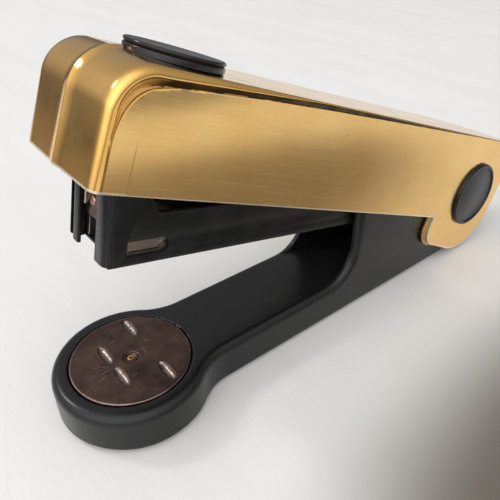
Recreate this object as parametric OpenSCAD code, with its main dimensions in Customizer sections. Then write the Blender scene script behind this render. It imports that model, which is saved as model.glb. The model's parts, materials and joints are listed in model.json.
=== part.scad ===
// Full-strip desk stapler with a turning anvil disc, built from its separate pieces.
// Units are millimetres. The origin is on the desk under the centre of the anvil, +X points to the
// hinge, +Y across the stapler and +Z up. The upper pieces stand in their open resting position.

/* [Base] */
// Radius of the round pad that carries the anvil
pad_r = 17.2; // [14:0.1:22]
// Height of the top of the base above the desk
base_top = 10.4; // [8:0.1:14]
// Half the width of the arm
arm_half = 11.0; // [9:0.1:13]
// Radius of the rounded upper edge of the base
edge_r = 2.0; // [0.5:0.1:3]
// Radius of the hollow corner where the pad runs into the arm
web_r = 13.5; // [8:0.5:20]
// Rear end of the arm
base_rear = 116; // [112:0.5:118]
// Thickness of the rubber sole
sole_t = 1.3; // [0.8:0.1:3]
// How far the sole stands in from the edge of the casting
sole_inset = 1.0; // [0.5:0.1:3]
// Where the cheeks stop short of the magazine
cheek_in = 8.8; // [8.6:0.05:9.5]
// Front edge of the cheeks
cheek_front = 60; // [50:0.5:75]
// Top of the cheeks
cheek_top = 32; // [30:0.5:33]
// Radius of the hollow corner in front of the cheeks
cheek_fillet = 9; // [4:0.5:12]

/* [Anvil] */
// Radius of the turning anvil disc
anvil_r = 13.3; // [10:0.1:15]
// Top of the anvil disc above the desk
anvil_top = 10.55; // [10:0.05:12]
// Thickness of the anvil disc
anvil_t = 1.5; // [1:0.1:2]
// Distance of each row of clinching grooves from the centre
groove_row = 4.2; // [3:0.1:6]
// Inner and outer end of the grooves that fold the legs inwards
inner_groove = [0.75, 7.0];
// Inner and outer end of the grooves that fold the legs outwards
outer_groove = [5.3, 11.65];

/* [Hinge] */
// Distance of the hinge from the anvil centre
hinge_x = 109; // [100:0.5:120]
// Height of the hinge above the desk
hinge_z = 19.8; // [18:0.1:22]
// Radius of the hinge pin
pin_r = 2.5; // [1.5:0.1:4]
// Radial running clearance on the hinge pin
pin_gap = 0.05; // [0.02:0.01:0.1]
// Radius of the round cap over each end of the pin
cap_r = 9.6; // [6:0.1:11]

/* [Magazine] */
// Resting angle of the magazine above the desk
mag_angle = 13.2; // [5:0.1:20]
// Half the outer width of the magazine housing
mag_half = 8.2; // [7.8:0.05:8.6]
// Sheet thickness of the magazine housing
mag_t = 0.6; // [0.5:0.05:1]
// Underside of the magazine housing below the hinge line
mag_bottom = -5.5; // [-7:0.1:-4]
// Top of the long side walls above the hinge line
mag_wall_top = 4.8; // [3:0.1:7]
// Top of the tall front of the side walls
mag_nose_top = 10.3; // [8:0.1:12]
// Front edge of the side walls, measured from the hinge
mag_front = -115; // [-120:0.1:-110]

/* [Staples] */
// Outer width of a staple
staple_w = 12.8; // [12:0.1:13.5]
// Height of a staple
staple_h = 6.0; // [4:0.5:8]
// Wire thickness of a staple
staple_wire = 0.5; // [0.4:0.05:0.7]
// Front of the staple strip, measured from the hinge
strip_front = -112.8; // [-114:0.1:-110]
// Length of the strip that is left
strip_length = 7.9; // [2:0.1:60]
// How far the pusher can be drawn back
pusher_travel = 45; // [20:1:50]

/* [Cover] */
// Resting angle of the cover above the desk
cover_angle = 22.56; // [10:0.1:30]
// Half the width of the cover
cover_half = 13.25; // [12:0.05:15]
// Front face of the cover, measured from the hinge
cover_front = -121.9; // [-126:0.1:-118]
// Rear face of the cover, measured from the hinge
cover_rear = 15.6; // [14.5:0.1:18]
// Lower edge of the cover below the hinge line
cover_bottom = -8.25; // [-10:0.05:-7]
// Height of the top over the hinge
cover_top = 16.98; // [15:0.1:20]
// Slope of the top against the lower edge
cover_slope = 2.54; // [0:0.1:5]
// Radius of the upper front corner
cover_nose_r = 7.5; // [3:0.1:12]
// Sheet thickness of the cover
cover_t = 1.2; // [0.8:0.1:2]
// Radius of the round ears beside the hinge
lug_r = 15.3; // [13:0.1:17]
// How far the side panels are pressed in at the top
panel_depth = 0.7; // [0:0.1:1]

/* [Thumb button] */
// Distance of the button from the hinge
button_u = -104.7; // [-112:0.1:-90]
// Radius of the button
button_r = 9.6; // [7:0.1:12]
// Thickness of the lower step of the button
button_low = 1.5; // [1:0.1:3]
// Thickness of the upper step of the button
button_high = 0.9; // [0.4:0.1:2]

/* [Show] */
// Node to draw, or all

/* [Hidden] */
$fn = 96;
slack = 0.05;
through = 60;
plate_seat = anvil_top - anvil_t;
anvil_floor = plate_seat - slack;
post_r = 2.5;
pocket_r = 7;
pocket_top = 6;
web_x = sqrt(pow(pad_r + web_r, 2) - pow(arm_half + web_r, 2));
web_y = arm_half + web_r;
web_touch = [web_x, web_y] * pad_r / (pad_r + web_r);
cheek_round = 12.2;
sole_screw_x = [28, 68, 104];
leaf_rivet_x = [88, 96];

mag_floor = mag_bottom + mag_t;
mag_in = mag_half - mag_t;
leg_out = staple_w / 2;
leg_in = leg_out - 0.55;
leg_bottom = mag_floor + slack;
crown_top = leg_bottom + staple_h;
rail_top = crown_top - staple_wire;
rail_half = leg_in - 0.1;
rail_t = 0.7;
rail_rear = -10;
guide_in = leg_out + 0.1;
guide_out = mag_in - 0.1;
guide_top = 3.6;
nose_face = -115.6;
nose_t = 0.75;
nose_rear = strip_front - 0.15;
nose_half = 7.55;
nose_r = 1.8;
nose_bottom = -5.65;
nose_top = 10.5;
nose_slot = 3.2;
window = [-111.8, -103.3, -3.5, -0.4];
window_r = 1.5;
rod_r = 1.1;
rod_n = -2.3;
pusher_front = strip_front + strip_length + slack;
pusher_length = 10;
spring_wire = 0.35;
spring_r = 1.75;
spring_turns = 22;
stop_u = [-18, -15];
rivet_u = -12.4;
rivet_n = -2;

shell_in = cover_half - cover_t;
liner_t = 0.7;
liner_out = shell_in - slack;
liner_in = liner_out - liner_t;
liner_inset = cover_t + slack;
liner_front = -75;
nose_u = cover_front + cover_nose_r;
lug_u = cover_rear - lug_r;
lug_n = -2.85;
lug_ramp = 37;
rear_wall_low = 3;
coil_r = 4.35;
coil_wire = 0.5;
blade_half = 6.2;
blade_t = 0.7;
blade_u = -113.29;
blade_low = -17.36;
blade_flange = -98.5;
blade_rivet_y = 1.2;
blade_rivet_n = -14.5;

// Height of the top of the cover above the hinge line at a distance u from the hinge.
function top_at(u) = cover_top + u * tan(cover_slope);

// ---- placing helpers ----

// Draws in the frame of the magazine: x along it, z away from its floor, origin on the hinge.
module in_magazine() {
    translate([hinge_x, 0, hinge_z])
        rotate([0, mag_angle, 0])
            children();
}

// Draws in the frame of the cover: x along its lower edge, origin on the hinge.
module in_cover() {
    translate([hinge_x, 0, hinge_z])
        rotate([0, cover_angle, 0])
            children();
}

// A side view drawn flat, made into a plate that reaches across from y_low to y_high.
module plate(y_low, y_high) {
    translate([0, y_high, 0])
        rotate([90, 0, 0])
            linear_extrude(y_high - y_low)
                children();
}

module both_sides() {
    children();
    mirror([0, 1, 0])
        children();
}

// A round bar across the stapler.
module bar(r, y_low, y_high) {
    translate([0, y_high, 0])
        rotate([90, 0, 0])
            cylinder(r = r, h = y_high - y_low);
}

module ring(r_out, r_in, h) {
    difference() {
        cylinder(r = r_out, h = h);
        translate([0, 0, -1])
            cylinder(r = r_in, h = h + 2);
    }
}

module box(low, high) {
    translate(low)
        cube(high - low);
}

// ---- base ----

// The hollow corners between the pad and the arm, drawn in by inset.
module webs(inset, h) {
    both_sides()
        difference() {
            linear_extrude(h)
                polygon([
                    [web_touch[0], 0],
                    web_touch,
                    [web_x, web_y],
                    [web_x, 0]
                ]);
            translate([web_x, web_y, -1])
                cylinder(r = web_r + inset, h = h + 2);
        }
}

module rubber_sole() {
    color("#1b1b1c")
        difference() {
            union() {
                cylinder(r = pad_r - sole_inset, h = sole_t);
                box([0, sole_inset - arm_half, 0], [base_rear - sole_inset, arm_half - sole_inset, sole_t]);
                webs(sole_inset, sole_t);
            }
            for (x = sole_screw_x)
                translate([x, 0, -1])
                    cylinder(r = 2.9, h = through);
        }
}

module sole_screw() {
    difference() {
        union() {
            translate([0, 0, 0.4])
                cylinder(r = 2.7, h = sole_t - 0.4);
            cylinder(r = 1.2, h = 7);
        }
        translate([0, 0, -0.1])
            cylinder(r = 3, h = 0.5);
        box([-2, -0.3, 0], [2, 0.3, 0.8]);
        box([-0.3, -2, 0], [0.3, 2, 0.8]);
    }
}

module sole_screws() {
    color("#8d8f92")
        for (x = sole_screw_x)
            translate([x, 0, 0])
                sole_screw();
}

// Side view of a cheek with the hollow corner in front of it.
module cheek_view() {
    polygon([
        [cheek_front - cheek_fillet, sole_t],
        [base_rear, sole_t],
        [base_rear, hinge_z - 10],
        [hinge_x, cheek_top],
        [cheek_front + 2, cheek_top],
        [cheek_front, cheek_top - 2],
        [cheek_front, base_top],
        [cheek_front - cheek_fillet, base_top]
    ]);
    translate([hinge_x, hinge_z])
        circle(r = cheek_round);
    difference() {
        translate([cheek_front - cheek_fillet, base_top])
            square(cheek_fillet);
        translate([cheek_front - cheek_fillet, base_top + cheek_fillet])
            circle(r = cheek_fillet);
    }
}

// Cross-section of the arm with its rounded upper edges.
module arm_section() {
    flank = arm_half - edge_r;
    translate([-arm_half, sole_t])
        square([2 * arm_half, base_top - edge_r - sole_t]);
    translate([-flank, sole_t])
        square([2 * flank, base_top - sole_t]);
    for (side = [-1, 1])
        translate([side * flank, base_top - edge_r])
            circle(r = edge_r);
}

module pad() {
    rotate_extrude() {
        translate([0, sole_t])
            square([pad_r, base_top - edge_r - sole_t]);
        translate([0, sole_t])
            square([pad_r - edge_r, base_top - sole_t]);
        translate([pad_r - edge_r, base_top - edge_r])
            circle(r = edge_r);
    }
}

module base_casting() {
    color("#202022")
        difference() {
            union() {
                pad();
                rotate([90, 0, 90])
                        linear_extrude(base_rear)
                            arm_section();
                translate([0, 0, sole_t])
                    webs(0, base_top - edge_r - sole_t);
                both_sides()
                    plate(cheek_in, arm_half)
                        cheek_view();
            }
            translate([0, 0, anvil_floor])
                cylinder(r = anvil_r + 0.3, h = through);
            translate([0, 0, -1])
                cylinder(r = post_r + pin_gap, h = through);
            translate([0, 0, -1])
                cylinder(r = pocket_r, h = pocket_top + 1);
            for (x = sole_screw_x)
                translate([x, 0, -1])
                    cylinder(r = 1.25, h = 9);
            for (x = leaf_rivet_x)
                translate([x, 0, base_top - 3])
                    cylinder(r = 1.25, h = 9);
            translate([hinge_x, 0, hinge_z])
                bar(pin_r, -through, through);
        }
}

module pivot_pin() {
    color("#a9abae")
        translate([hinge_x, 0, hinge_z])
            bar(pin_r, 0.05 - liner_out, liner_out - 0.05);
}

module pivot_washers() {
    color("#d8d6cf")
        both_sides()
            translate([hinge_x, 0, hinge_z])
                difference() {
                    bar(5.5, arm_half, arm_half + 0.2);
                    bar(pin_r + pin_gap, 0, through);
                }
}

// The bent leaf that lifts the magazine: a flat foot and an arm that rises to the housing.
module lift_spring() {
    t = 0.6;
    color("#6f7377")
        difference() {
            plate(-4.5, 4.5)
                polygon([
                    [100, base_top],
                    [84, base_top],
                    [76, base_top + 3.4],
                    [65.6, 23.3],
                    [63.6, 23.9],
                    [63.8, 24.5],
                    [66.1, 23.8],
                    [76.4, base_top + 4],
                    [84.2, base_top + t],
                    [100, base_top + t]
                ]);
            for (x = leaf_rivet_x)
                translate([x, 0, base_top - 1])
                    cylinder(r = 1.3, h = 3);
        }
}

module lift_spring_rivets() {
    color("#8d8f92")
        for (x = leaf_rivet_x)
            translate([x, 0, base_top]) {
                translate([0, 0, -2.5])
                    cylinder(r = 1.2, h = 3.5);
                translate([0, 0, 0.6])
                    cylinder(r = 2.2, h = 0.7);
            }
}

// ---- anvil ----

// One clinching groove along y, between the given ends, rounded like the tool that sinks it.
module groove(ends) {
    r = 1.1;
    translate([0, 0, anvil_top + 0.45]) {
        bar(r, ends[0] + r, ends[1] - r);
        for (y = [ends[0] + r, ends[1] - r])
            translate([0, y, 0])
                sphere(r = r);
    }
}

module anvil_plate() {
    color("#4f4642")
        difference() {
            translate([0, 0, plate_seat])
                cylinder(r = anvil_r, h = anvil_t);
            translate([0, 0, plate_seat - 1])
                cylinder(r = 1.5, h = 4);
            both_sides() {
                translate([-groove_row, 0, 0])
                    groove(inner_groove);
                translate([groove_row, 0, 0])
                    groove(outer_groove);
            }
        }
}

module anvil_post() {
    clip_low = 4.2;
    color("#a98645")
        difference() {
            union() {
                translate([0, 0, 3.6])
                    cylinder(r = post_r, h = plate_seat - 3.6);
                translate([0, 0, plate_seat - 0.5])
                    cylinder(r = 1.5, h = anvil_t + 0.35);
            }
            translate([0, 0, clip_low])
                ring(post_r + 1, 2, 0.8);
            translate([0, 0, anvil_top + 0.6])
                sphere(r = 1.1);
        }
}

module anvil_washer() {
    color("#8d8f92")
        translate([0, 0, 5.05])
            ring(5.5, post_r + 0.1, 0.85);
}

module anvil_clip() {
    color("#55585c")
        difference() {
            translate([0, 0, 4.25])
                ring(4.8, 2.02, 0.7);
            box([0, -1.4, 4], [6, 1.4, 5.5]);
        }
}

// ---- magazine ----

// Side view of one wall of the housing.
module wall_view() {
    polygon([
        [mag_front, mag_bottom],
        [0, mag_bottom],
        [0, mag_wall_top],
        [-105.4, mag_wall_top],
        [-107.2, 7.6],
        [-108.2, mag_nose_top],
        [mag_front, mag_nose_top]
    ]);
    circle(r = 6.8);
}

module window_view() {
    translate([window[0], window[2]])
        square([window[1] - window[0] - window_r, window[3] - window[2]]);
    translate([window[1] - window_r, (window[2] + window[3]) / 2])
        circle(r = (window[3] - window[2]) / 2);
}

module magazine_housing() {
    color("#18191a")
        in_magazine()
            difference() {
                union() {
                    both_sides()
                        plate(mag_in, mag_half)
                            wall_view();
                    box([strip_front - 0.1, -mag_half, mag_bottom], [-6, mag_half, mag_floor]);
                }
                bar(pin_r + pin_gap, -through, through);
                both_sides()
                    plate(mag_in - 1, mag_half + 1)
                        window_view();
                translate([rivet_u, 0, rivet_n])
                    bar(0.8, -through, through);
            }
}

// Plan of the bent nose plate: a face with two rounded corners and short returns.
module nose_plan(inset) {
    r = nose_r - inset;
    half = nose_half - inset;
    face = nose_face + inset;
    for (side = [-1, 1])
        translate([nose_face + nose_r, side * (nose_half - nose_r)])
            circle(r = r);
    translate([face, nose_r - nose_half])
        square([nose_r, 2 * (nose_half - nose_r)]);
    translate([nose_face + nose_r, -half])
        square([nose_rear - nose_face - nose_r, 2 * half]);
}

module front_plate() {
    color("#1d1e20")
        in_magazine()
            difference() {
                translate([0, 0, nose_bottom])
                    linear_extrude(nose_top - nose_bottom)
                        difference() {
                            nose_plan(0);
                            nose_plan(nose_t);
                            translate([strip_front - 1.2, nose_t - nose_half])
                                square([4, 2 * (nose_half - nose_t)]);
                        }
                box(
                    [nose_face - 1, -nose_slot, nose_bottom - 1],
                    [nose_face + nose_r, nose_slot, nose_top - 1.2]
                );
                box(
                    [nose_rear, -nose_half - 1, nose_bottom - 1],
                    [nose_rear + nose_r, nose_half + 1, nose_top + 1]
                );
            }
}

// A steel strip that lines one wall, with the lance and hole that show in the window.
module guide() {
    difference() {
        box([strip_front, guide_in, mag_floor], [rail_rear, guide_out, guide_top]);
        box([-111.2, 0, -2.95], [-104.9, through, -2.65]);
        translate([-104.3, 0, -2])
            bar(0.9, 0, through);
        translate([rivet_u, 0, rivet_n])
            bar(0.8, -through, through);
    }
}

module guide_left() {
    color("#8c8680")
        in_magazine()
            guide();
}

module guide_right() {
    color("#8c8680")
        in_magazine()
            mirror([0, 1, 0])
                guide();
}

module staple_rail() {
    color("#8c8680")
        in_magazine()
            difference() {
                box([strip_front, -rail_half, mag_floor], [rail_rear, rail_half, rail_top]);
                box(
                    [strip_front - 1, rail_t - rail_half, mag_floor - 1],
                    [rail_rear + 1, rail_half - rail_t, rail_top - rail_t]
                );
                box([-106, -1.3, -2], [-52, 1.3, 4]);
                translate([rivet_u, 0, rivet_n])
                    bar(0.8, -through, through);
            }
}

module staple_strip() {
    color("#b4b5b8")
        in_magazine()
            difference() {
                box(
                    [strip_front, -leg_out, leg_bottom],
                    [strip_front + strip_length, leg_out, crown_top]
                );
                box(
                    [strip_front - 1, -leg_in, leg_bottom - 1],
                    [strip_front + strip_length + 1, leg_in, rail_top]
                );
            }
}

module rail_rivets() {
    color("#2a2b2d")
        in_magazine()
            translate([rivet_u, 0, rivet_n]) {
                bar(0.8, -mag_half - 0.1, mag_half + 0.1);
                both_sides()
                    bar(1.7, mag_half, mag_half + 0.4);
            }
}

module spring_stop() {
    color("#8d8f92")
        in_magazine()
            difference() {
                box(
                    [stop_u[0], rail_t - rail_half, mag_floor],
                    [stop_u[1], rail_half - rail_t, rail_top - rail_t]
                );
                translate([stop_u[0] - 1, 0, rod_n])
                    rotate([0, 90, 0])
                        cylinder(r = rod_r, h = 5);
            }
}

module guide_rod() {
    color("#a9abae")
        in_magazine()
            translate([-111, 0, rod_n])
                rotate([0, 90, 0])
                    cylinder(r = rod_r, h = 96);
}

module pusher_spring() {
    front = pusher_front + 6.1;
    color("#a9abae")
        in_magazine()
            translate([front, 0, rod_n])
                rotate([0, 90, 0])
                    linear_extrude(
                        stop_u[0] - 0.1 - front,
                        twist = -360 * spring_turns,
                        slices = 16 * spring_turns,
                        $fn = 8
                    )
                        translate([spring_r, 0])
                            circle(r = spring_wire, $fn = 8);
}

module tail_bush() {
    color("#a9abae")
        in_magazine()
            difference() {
                bar(3.3, -mag_in, mag_in);
                bar(pin_r + pin_gap, -through, through);
            }
}

// ---- pusher ----

module pusher() {
    sleeve_top = crown_top + 0.6;
    rear = pusher_front + pusher_length;
    color("#7d7a76")
        in_magazine() {
            difference() {
                box(
                    [pusher_front, -leg_out, leg_bottom + 0.2],
                    [rear, leg_out, sleeve_top]
                );
                box(
                    [pusher_front - 1, -leg_in, leg_bottom - 1],
                    [rear + 1, leg_in, rail_top + 0.1]
                );
            }
            difference() {
                union() {
                    box([pusher_front + 1, -1.0, rod_n], [pusher_front + 6, 1.0, sleeve_top]);
                    box([pusher_front + 1, -3.4, -4.2], [pusher_front + 6, 3.4, -0.7]);
                }
                translate([pusher_front, 0, rod_n])
                    rotate([0, 90, 0])
                        cylinder(r = rod_r + 0.1, h = 12);
            }
        }
}

// ---- cover ----

// The outer form of the cover, drawn in by inset, from one side to the other. The round ears
// beside the hinge are part of it.
module cover_form(inset, half) {
    front = cover_front + inset;
    rear = cover_rear - inset;
    low = cover_bottom + inset;
    drop = inset / cos(cover_slope);
    r = cover_nose_r - inset;
    nose_n = top_at(nose_u) - cover_nose_r / cos(cover_slope);
    touch = [nose_u - r * sin(cover_slope), nose_n + r * cos(cover_slope)];
    lug = lug_r - inset;
    ramp_touch = [lug_u - lug * sin(lug_ramp), lug_n - lug * cos(lug_ramp)];
    ramp_end = ramp_touch[0] - (low - ramp_touch[1]) / tan(lug_ramp);
    plate(-half, half)
        polygon([
            [front, low],
            [front, nose_n],
            [nose_u, nose_n],
            touch,
            [rear - 2, top_at(rear - 2) - drop],
            [rear, top_at(rear) - 2 - drop],
            [rear, lug_n],
            [lug_u, lug_n],
            ramp_touch,
            [ramp_end, low]
        ]);
    translate([nose_u, 0, nose_n])
        bar(r, -half, half);
    translate([lug_u, 0, lug_n])
        bar(lug, -half, half);
}

// The hollow of the cover, open at the bottom and under the rear wall.
module cover_hollow(inset, half) {
    cover_form(inset, half);
    box([cover_front + inset, -half, -30], [cover_rear - inset, half, 0]);
    box([0, -half, -30], [30, half, rear_wall_low]);
}

// The outline of the pressed-in side panel.
module panel_view() {
    polygon([
        [-120.7, cover_bottom],
        [-120.7, -0.35],
        [-119.5, 4.65],
        [-118.3, 6.35],
        [-116.3, 8.15],
        [-113.25, 9.75],
        [-107.8, 10.35],
        [-79, 12.6],
        [-52, 13.95],
        [-28.6, 15.1],
        [-14, 15.5],
        [-19, cover_bottom]
    ]);
}

module cover_shell() {
    tilt = atan(panel_depth / 18);
    color("#c79a4b")
        in_cover()
            difference() {
                cover_form(0, cover_half);
                cover_hollow(cover_t, shell_in);
                both_sides()
                    translate([0, cover_half, cover_bottom])
                        rotate([tilt, 0, 0])
                            plate(0, 4)
                                translate([0, -cover_bottom])
                                    panel_view();
                bar(cap_r + slack, -through, through);
                translate([button_u, 0, 0])
                    cylinder(r = 1.55, h = through);
            }
}

module cover_liner() {
    color("#b0873f")
        in_cover()
            difference() {
                intersection() {
                    cover_form(liner_inset, liner_out);
                    box([liner_front, -through, -through], [through, through, through]);
                }
                cover_hollow(liner_inset + liner_t, liner_in);
                bar(pin_r + pin_gap, -through, through);
            }
}

module cap() {
    low = liner_out;
    face = cover_half + 0.6;
    rim = cover_half + 1.0;
    rotate([-90, 0, 0])
        rotate_extrude() {
            translate([0, low])
                square([cap_r - 0.8, face - low]);
            translate([0, low])
                square([cap_r, rim - 0.6 - low]);
            translate([cap_r - 1.6, low])
                square([1, rim - low]);
            translate([cap_r - 0.6, rim - 0.6])
                circle(r = 0.6);
        }
}

module cap_left() {
    color("#141415")
        in_cover()
            cap();
}

module cap_right() {
    color("#141415")
        in_cover()
            mirror([0, 1, 0])
                cap();
}

// Draws on the top of the cover at the middle of the button, with z away from the sheet.
module on_button() {
    in_cover()
        translate([button_u, 0, top_at(button_u)])
            rotate([0, -cover_slope, 0])
                children();
}

module button_lower() {
    color("#131314")
        on_button()
            difference() {
                rotate_extrude() {
                    square([button_r - 0.4, button_low]);
                    square([button_r, button_low - 0.4]);
                    translate([button_r - 0.4, button_low - 0.4])
                        circle(r = 0.4);
                }
                translate([0, 0, -1])
                    cylinder(r = 1.5, h = 2.2);
            }
}

module button_upper() {
    high = button_low + button_high;
    r = button_r - 0.35;
    color("#2b2b2d")
        on_button()
            rotate_extrude() {
                translate([0, button_low])
                    square([r - 0.4, button_high]);
                translate([0, button_low])
                    square([r, button_high - 0.4]);
                translate([r - 0.4, high - 0.4])
                    circle(r = 0.4);
            }
}

module button_screw() {
    color("#8d8f92")
        on_button()
            difference() {
                union() {
                    translate([0, 0, -3.5])
                        cylinder(r = 1.5, h = 4.7);
                    translate([0, 0, -3.6])
                        cylinder(r = 2.8, h = 1.35);
                }
                box([-3, -0.35, -4], [3, 0.35, -3]);
            }
}

// The blade hangs at the nose and its bent top is clamped under the sheet by the button screw.
module driver_blade() {
    under = cover_t / cos(cover_slope) + slack;
    flange_t = 0.9;
    color("#97979a")
        in_cover()
            difference() {
                plate(-blade_half, blade_half)
                    polygon([
                        [blade_u, blade_low],
                        [blade_u, top_at(blade_u) - under],
                        [blade_flange, top_at(blade_flange) - under],
                        [blade_flange, top_at(blade_flange) - under - flange_t],
                        [blade_u + blade_t, top_at(blade_u + blade_t) - under - flange_t],
                        [blade_u + blade_t, blade_low]
                    ]);
                translate([button_u, 0, 0])
                    cylinder(r = 1.6, h = through);
                translate([blade_u - 1, blade_rivet_y, blade_rivet_n])
                    rotate([0, 90, 0])
                        cylinder(r = 0.6, h = 5);
            }
}

module blade_rivet() {
    color("#b06f4c")
        in_cover()
            translate([blade_u, blade_rivet_y, blade_rivet_n])
                rotate([0, 90, 0]) {
                    translate([0, 0, -0.35])
                        cylinder(r = 1.0, h = 0.35);
                    translate([0, 0, -0.1])
                        cylinder(r = 0.6, h = blade_t + 0.1);
                }
}

// The hinge spring: a close coil round the bush, one leg on the housing floor and one leg that
// lifts the cover.
module torsion_spring() {
    coils = 7;
    pitch = 0.96;
    leg_angle = 16.5;
    leg_wire = coil_wire - 0.06;
    color("#8d8f92") {
        in_magazine() {
            for (i = [0 : coils - 1])
                translate([0, (i - (coils - 1) / 2) * pitch, 0])
                    rotate([90, 0, 0])
                        rotate_extrude()
                            translate([coil_r, 0])
                                circle(r = coil_wire);
            translate([0, 3 * pitch, -coil_r])
                rotate([0, -90, 0])
                    cylinder(r = leg_wire, h = 9.4);
        }
        in_cover()
            translate([0, -3 * pitch, 0])
                rotate([0, leg_angle - 90, 0])
                    translate([coil_r, 0, 0])
                        cylinder(r = leg_wire, h = 29);
    }
}

rubber_sole();
sole_screws();
base_casting();
pivot_pin();
pivot_washers();
lift_spring();
lift_spring_rivets();
anvil_plate();
anvil_post();
anvil_washer();
anvil_clip();
magazine_housing();
front_plate();
guide_left();
guide_right();
staple_rail();
staple_strip();
rail_rivets();
spring_stop();
guide_rod();
pusher_spring();
tail_bush();
pusher();
cover_shell();
cover_liner();
cap_left();
cap_right();
button_lower();
button_upper();
button_screw();
driver_blade();
blade_rivet();
torsion_spring();
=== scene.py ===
"""Looks of the desk stapler: meshes, materials, floor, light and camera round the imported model.

Sizes are in millimetres, and become metres in new_object() and in the materials. The floor
patches, the lights and the camera clip are in metres. The row frame has its origin on the desk
under the anvil, x towards the hinge and z up. The cover and the magazine are drawn level, as
(u, y, n) from the hinge, and then tilted.
"""
import json
import math

import bmesh
import bpy
import numpy as np
from mathutils import Matrix, Vector


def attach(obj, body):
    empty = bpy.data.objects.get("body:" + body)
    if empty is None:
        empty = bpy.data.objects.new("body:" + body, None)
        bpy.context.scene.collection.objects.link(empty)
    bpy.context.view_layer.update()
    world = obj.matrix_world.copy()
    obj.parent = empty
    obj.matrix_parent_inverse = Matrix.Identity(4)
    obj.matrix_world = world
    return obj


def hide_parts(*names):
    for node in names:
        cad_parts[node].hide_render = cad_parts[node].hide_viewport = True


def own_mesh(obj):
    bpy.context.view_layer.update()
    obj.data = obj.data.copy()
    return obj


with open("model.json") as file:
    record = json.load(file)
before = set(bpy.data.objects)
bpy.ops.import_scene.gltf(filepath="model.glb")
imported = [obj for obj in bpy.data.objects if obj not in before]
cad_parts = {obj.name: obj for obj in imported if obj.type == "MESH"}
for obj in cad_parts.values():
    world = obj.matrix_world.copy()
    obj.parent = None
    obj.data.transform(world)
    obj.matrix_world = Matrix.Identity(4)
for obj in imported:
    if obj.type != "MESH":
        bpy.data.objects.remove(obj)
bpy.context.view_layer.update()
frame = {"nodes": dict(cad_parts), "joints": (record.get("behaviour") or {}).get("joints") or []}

MM = 0.001
JOINTS = {j["name"]: j for j in frame["joints"]}
HINGE = np.array(JOINTS["cover_hinge"]["pos_m"]) / MM
SLIDE = JOINTS["pusher_slide"]["axis"]

# Angles of the magazine and of the cover above the desk, in degrees.
MAGAZINE_ANGLE = math.degrees(math.atan2(-SLIDE[2], SLIDE[0]))
COVER_ANGLE = 22.56


# ---- placing ----

def to_row(points, angle):
    """Points (u, y, n) of a part tilted about the hinge, in the row frame. Both in millimetres."""
    u, y, n = np.asarray(points, float).reshape(-1, 3).T
    c, s = math.cos(math.radians(angle)), math.sin(math.radians(angle))
    return np.c_[HINGE[0] + u * c + n * s, HINGE[1] + y, HINGE[2] - u * s + n * c]


def in_cover(points):
    return to_row(points, COVER_ANGLE)


def in_magazine(points):
    return to_row(points, MAGAZINE_ANGLE)


def in_row(points):
    return np.asarray(points, float).reshape(-1, 3)


PLACES = {"base": in_row, "anvil": in_row, "magazine": in_magazine, "pusher": in_magazine, "cover": in_cover}


# ---- meshes ----

def merged(points):
    """The first of each group of points that coincide, and the group that each point is in."""
    keys = np.round(np.asarray(points) / 1e-4).astype(np.int64)
    _, first, back = np.unique(keys, axis=0, return_index=True, return_inverse=True)
    return first, back.reshape(-1)


def ring_of(face, back):
    """A face's points after merging, without neighbours that are the same."""
    ring = [int(back[i]) for i in face]
    return [v for k, v in enumerate(ring) if v != ring[k - 1]]


def weld(points, faces):
    """Joins points that coincide, and drops faces that collapse."""
    first, back = merged(points)
    rings = [ring_of(face, back) for face in faces]
    return np.asarray(points)[first], [ring for ring in rings if len(set(ring)) > 2]


def linked(name, data):
    """A new object in the scene."""
    obj = bpy.data.objects.new(name, data)
    bpy.context.scene.collection.objects.link(obj)
    return obj


def new_object(name, points, faces):
    """A mesh object from points in row millimetres."""
    mesh = bpy.data.meshes.new(name)
    mesh.from_pydata((np.asarray(points) * MM).tolist(), [], [list(f) for f in faces])
    return linked(name, mesh)


def make_piece(name, shape, body, materials, stands_for=(), sharp=35, indices=None, place=None):
    """A piece from points and faces. The body says how the points are placed, if place doesn't.
    Edges sharper than the angle stay crisp."""
    points, faces = shape
    obj = new_object(name, (place or PLACES[body])(points), faces)
    mesh = obj.data
    for material in materials:
        mesh.materials.append(material)
    if indices is not None:
        mesh.polygons.foreach_set("material_index", np.asarray(indices, np.int32))
    tidy_normals(mesh)
    shade(mesh, sharp)
    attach(obj, body)
    if stands_for:
        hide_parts(*stands_for)
    return obj


def tidy_normals(mesh):
    work = bmesh.new()
    work.from_mesh(mesh)
    bmesh.ops.recalc_face_normals(work, faces=work.faces)
    work.to_mesh(mesh)
    work.free()


def shade(mesh, sharp):
    mesh.polygons.foreach_set("use_smooth", [True] * len(mesh.polygons))
    mesh.set_sharp_from_angle(angle=math.radians(sharp))
    mesh.update()


def bake_modifiers(obj, sharp=35):
    """Applies the object's modifiers to its mesh."""
    graph = bpy.context.evaluated_depsgraph_get()
    done = bpy.data.meshes.new_from_object(
        obj.evaluated_get(graph), preserve_all_data_layers=True, depsgraph=graph
    )
    obj.modifiers.clear()
    obj.data = done
    shade(done, sharp)
    return obj


def bevelled(obj, width, segments=2, sharp=35, angle=30):
    """Rounds every edge that is sharper than the angle. The width is in millimetres."""
    bevel = obj.modifiers.new("bevel", "BEVEL")
    bevel.width = width * MM
    bevel.segments = segments
    bevel.limit_method = "ANGLE"
    bevel.angle_limit = math.radians(angle)
    bevel.use_clamp_overlap = True
    bevel.miter_outer = "MITER_ARC"
    return bake_modifiers(obj, sharp)


def cut(obj, *cutters, sharp=35):
    """Takes the cutters away from the object, and removes them."""
    for cutter in cutters:
        hole = obj.modifiers.new("hole", "BOOLEAN")
        hole.operation = "DIFFERENCE"
        hole.solver = "EXACT"
        hole.object = cutter
    bake_modifiers(obj, sharp)
    for cutter in cutters:
        bpy.data.objects.remove(cutter)
    return obj


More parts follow.
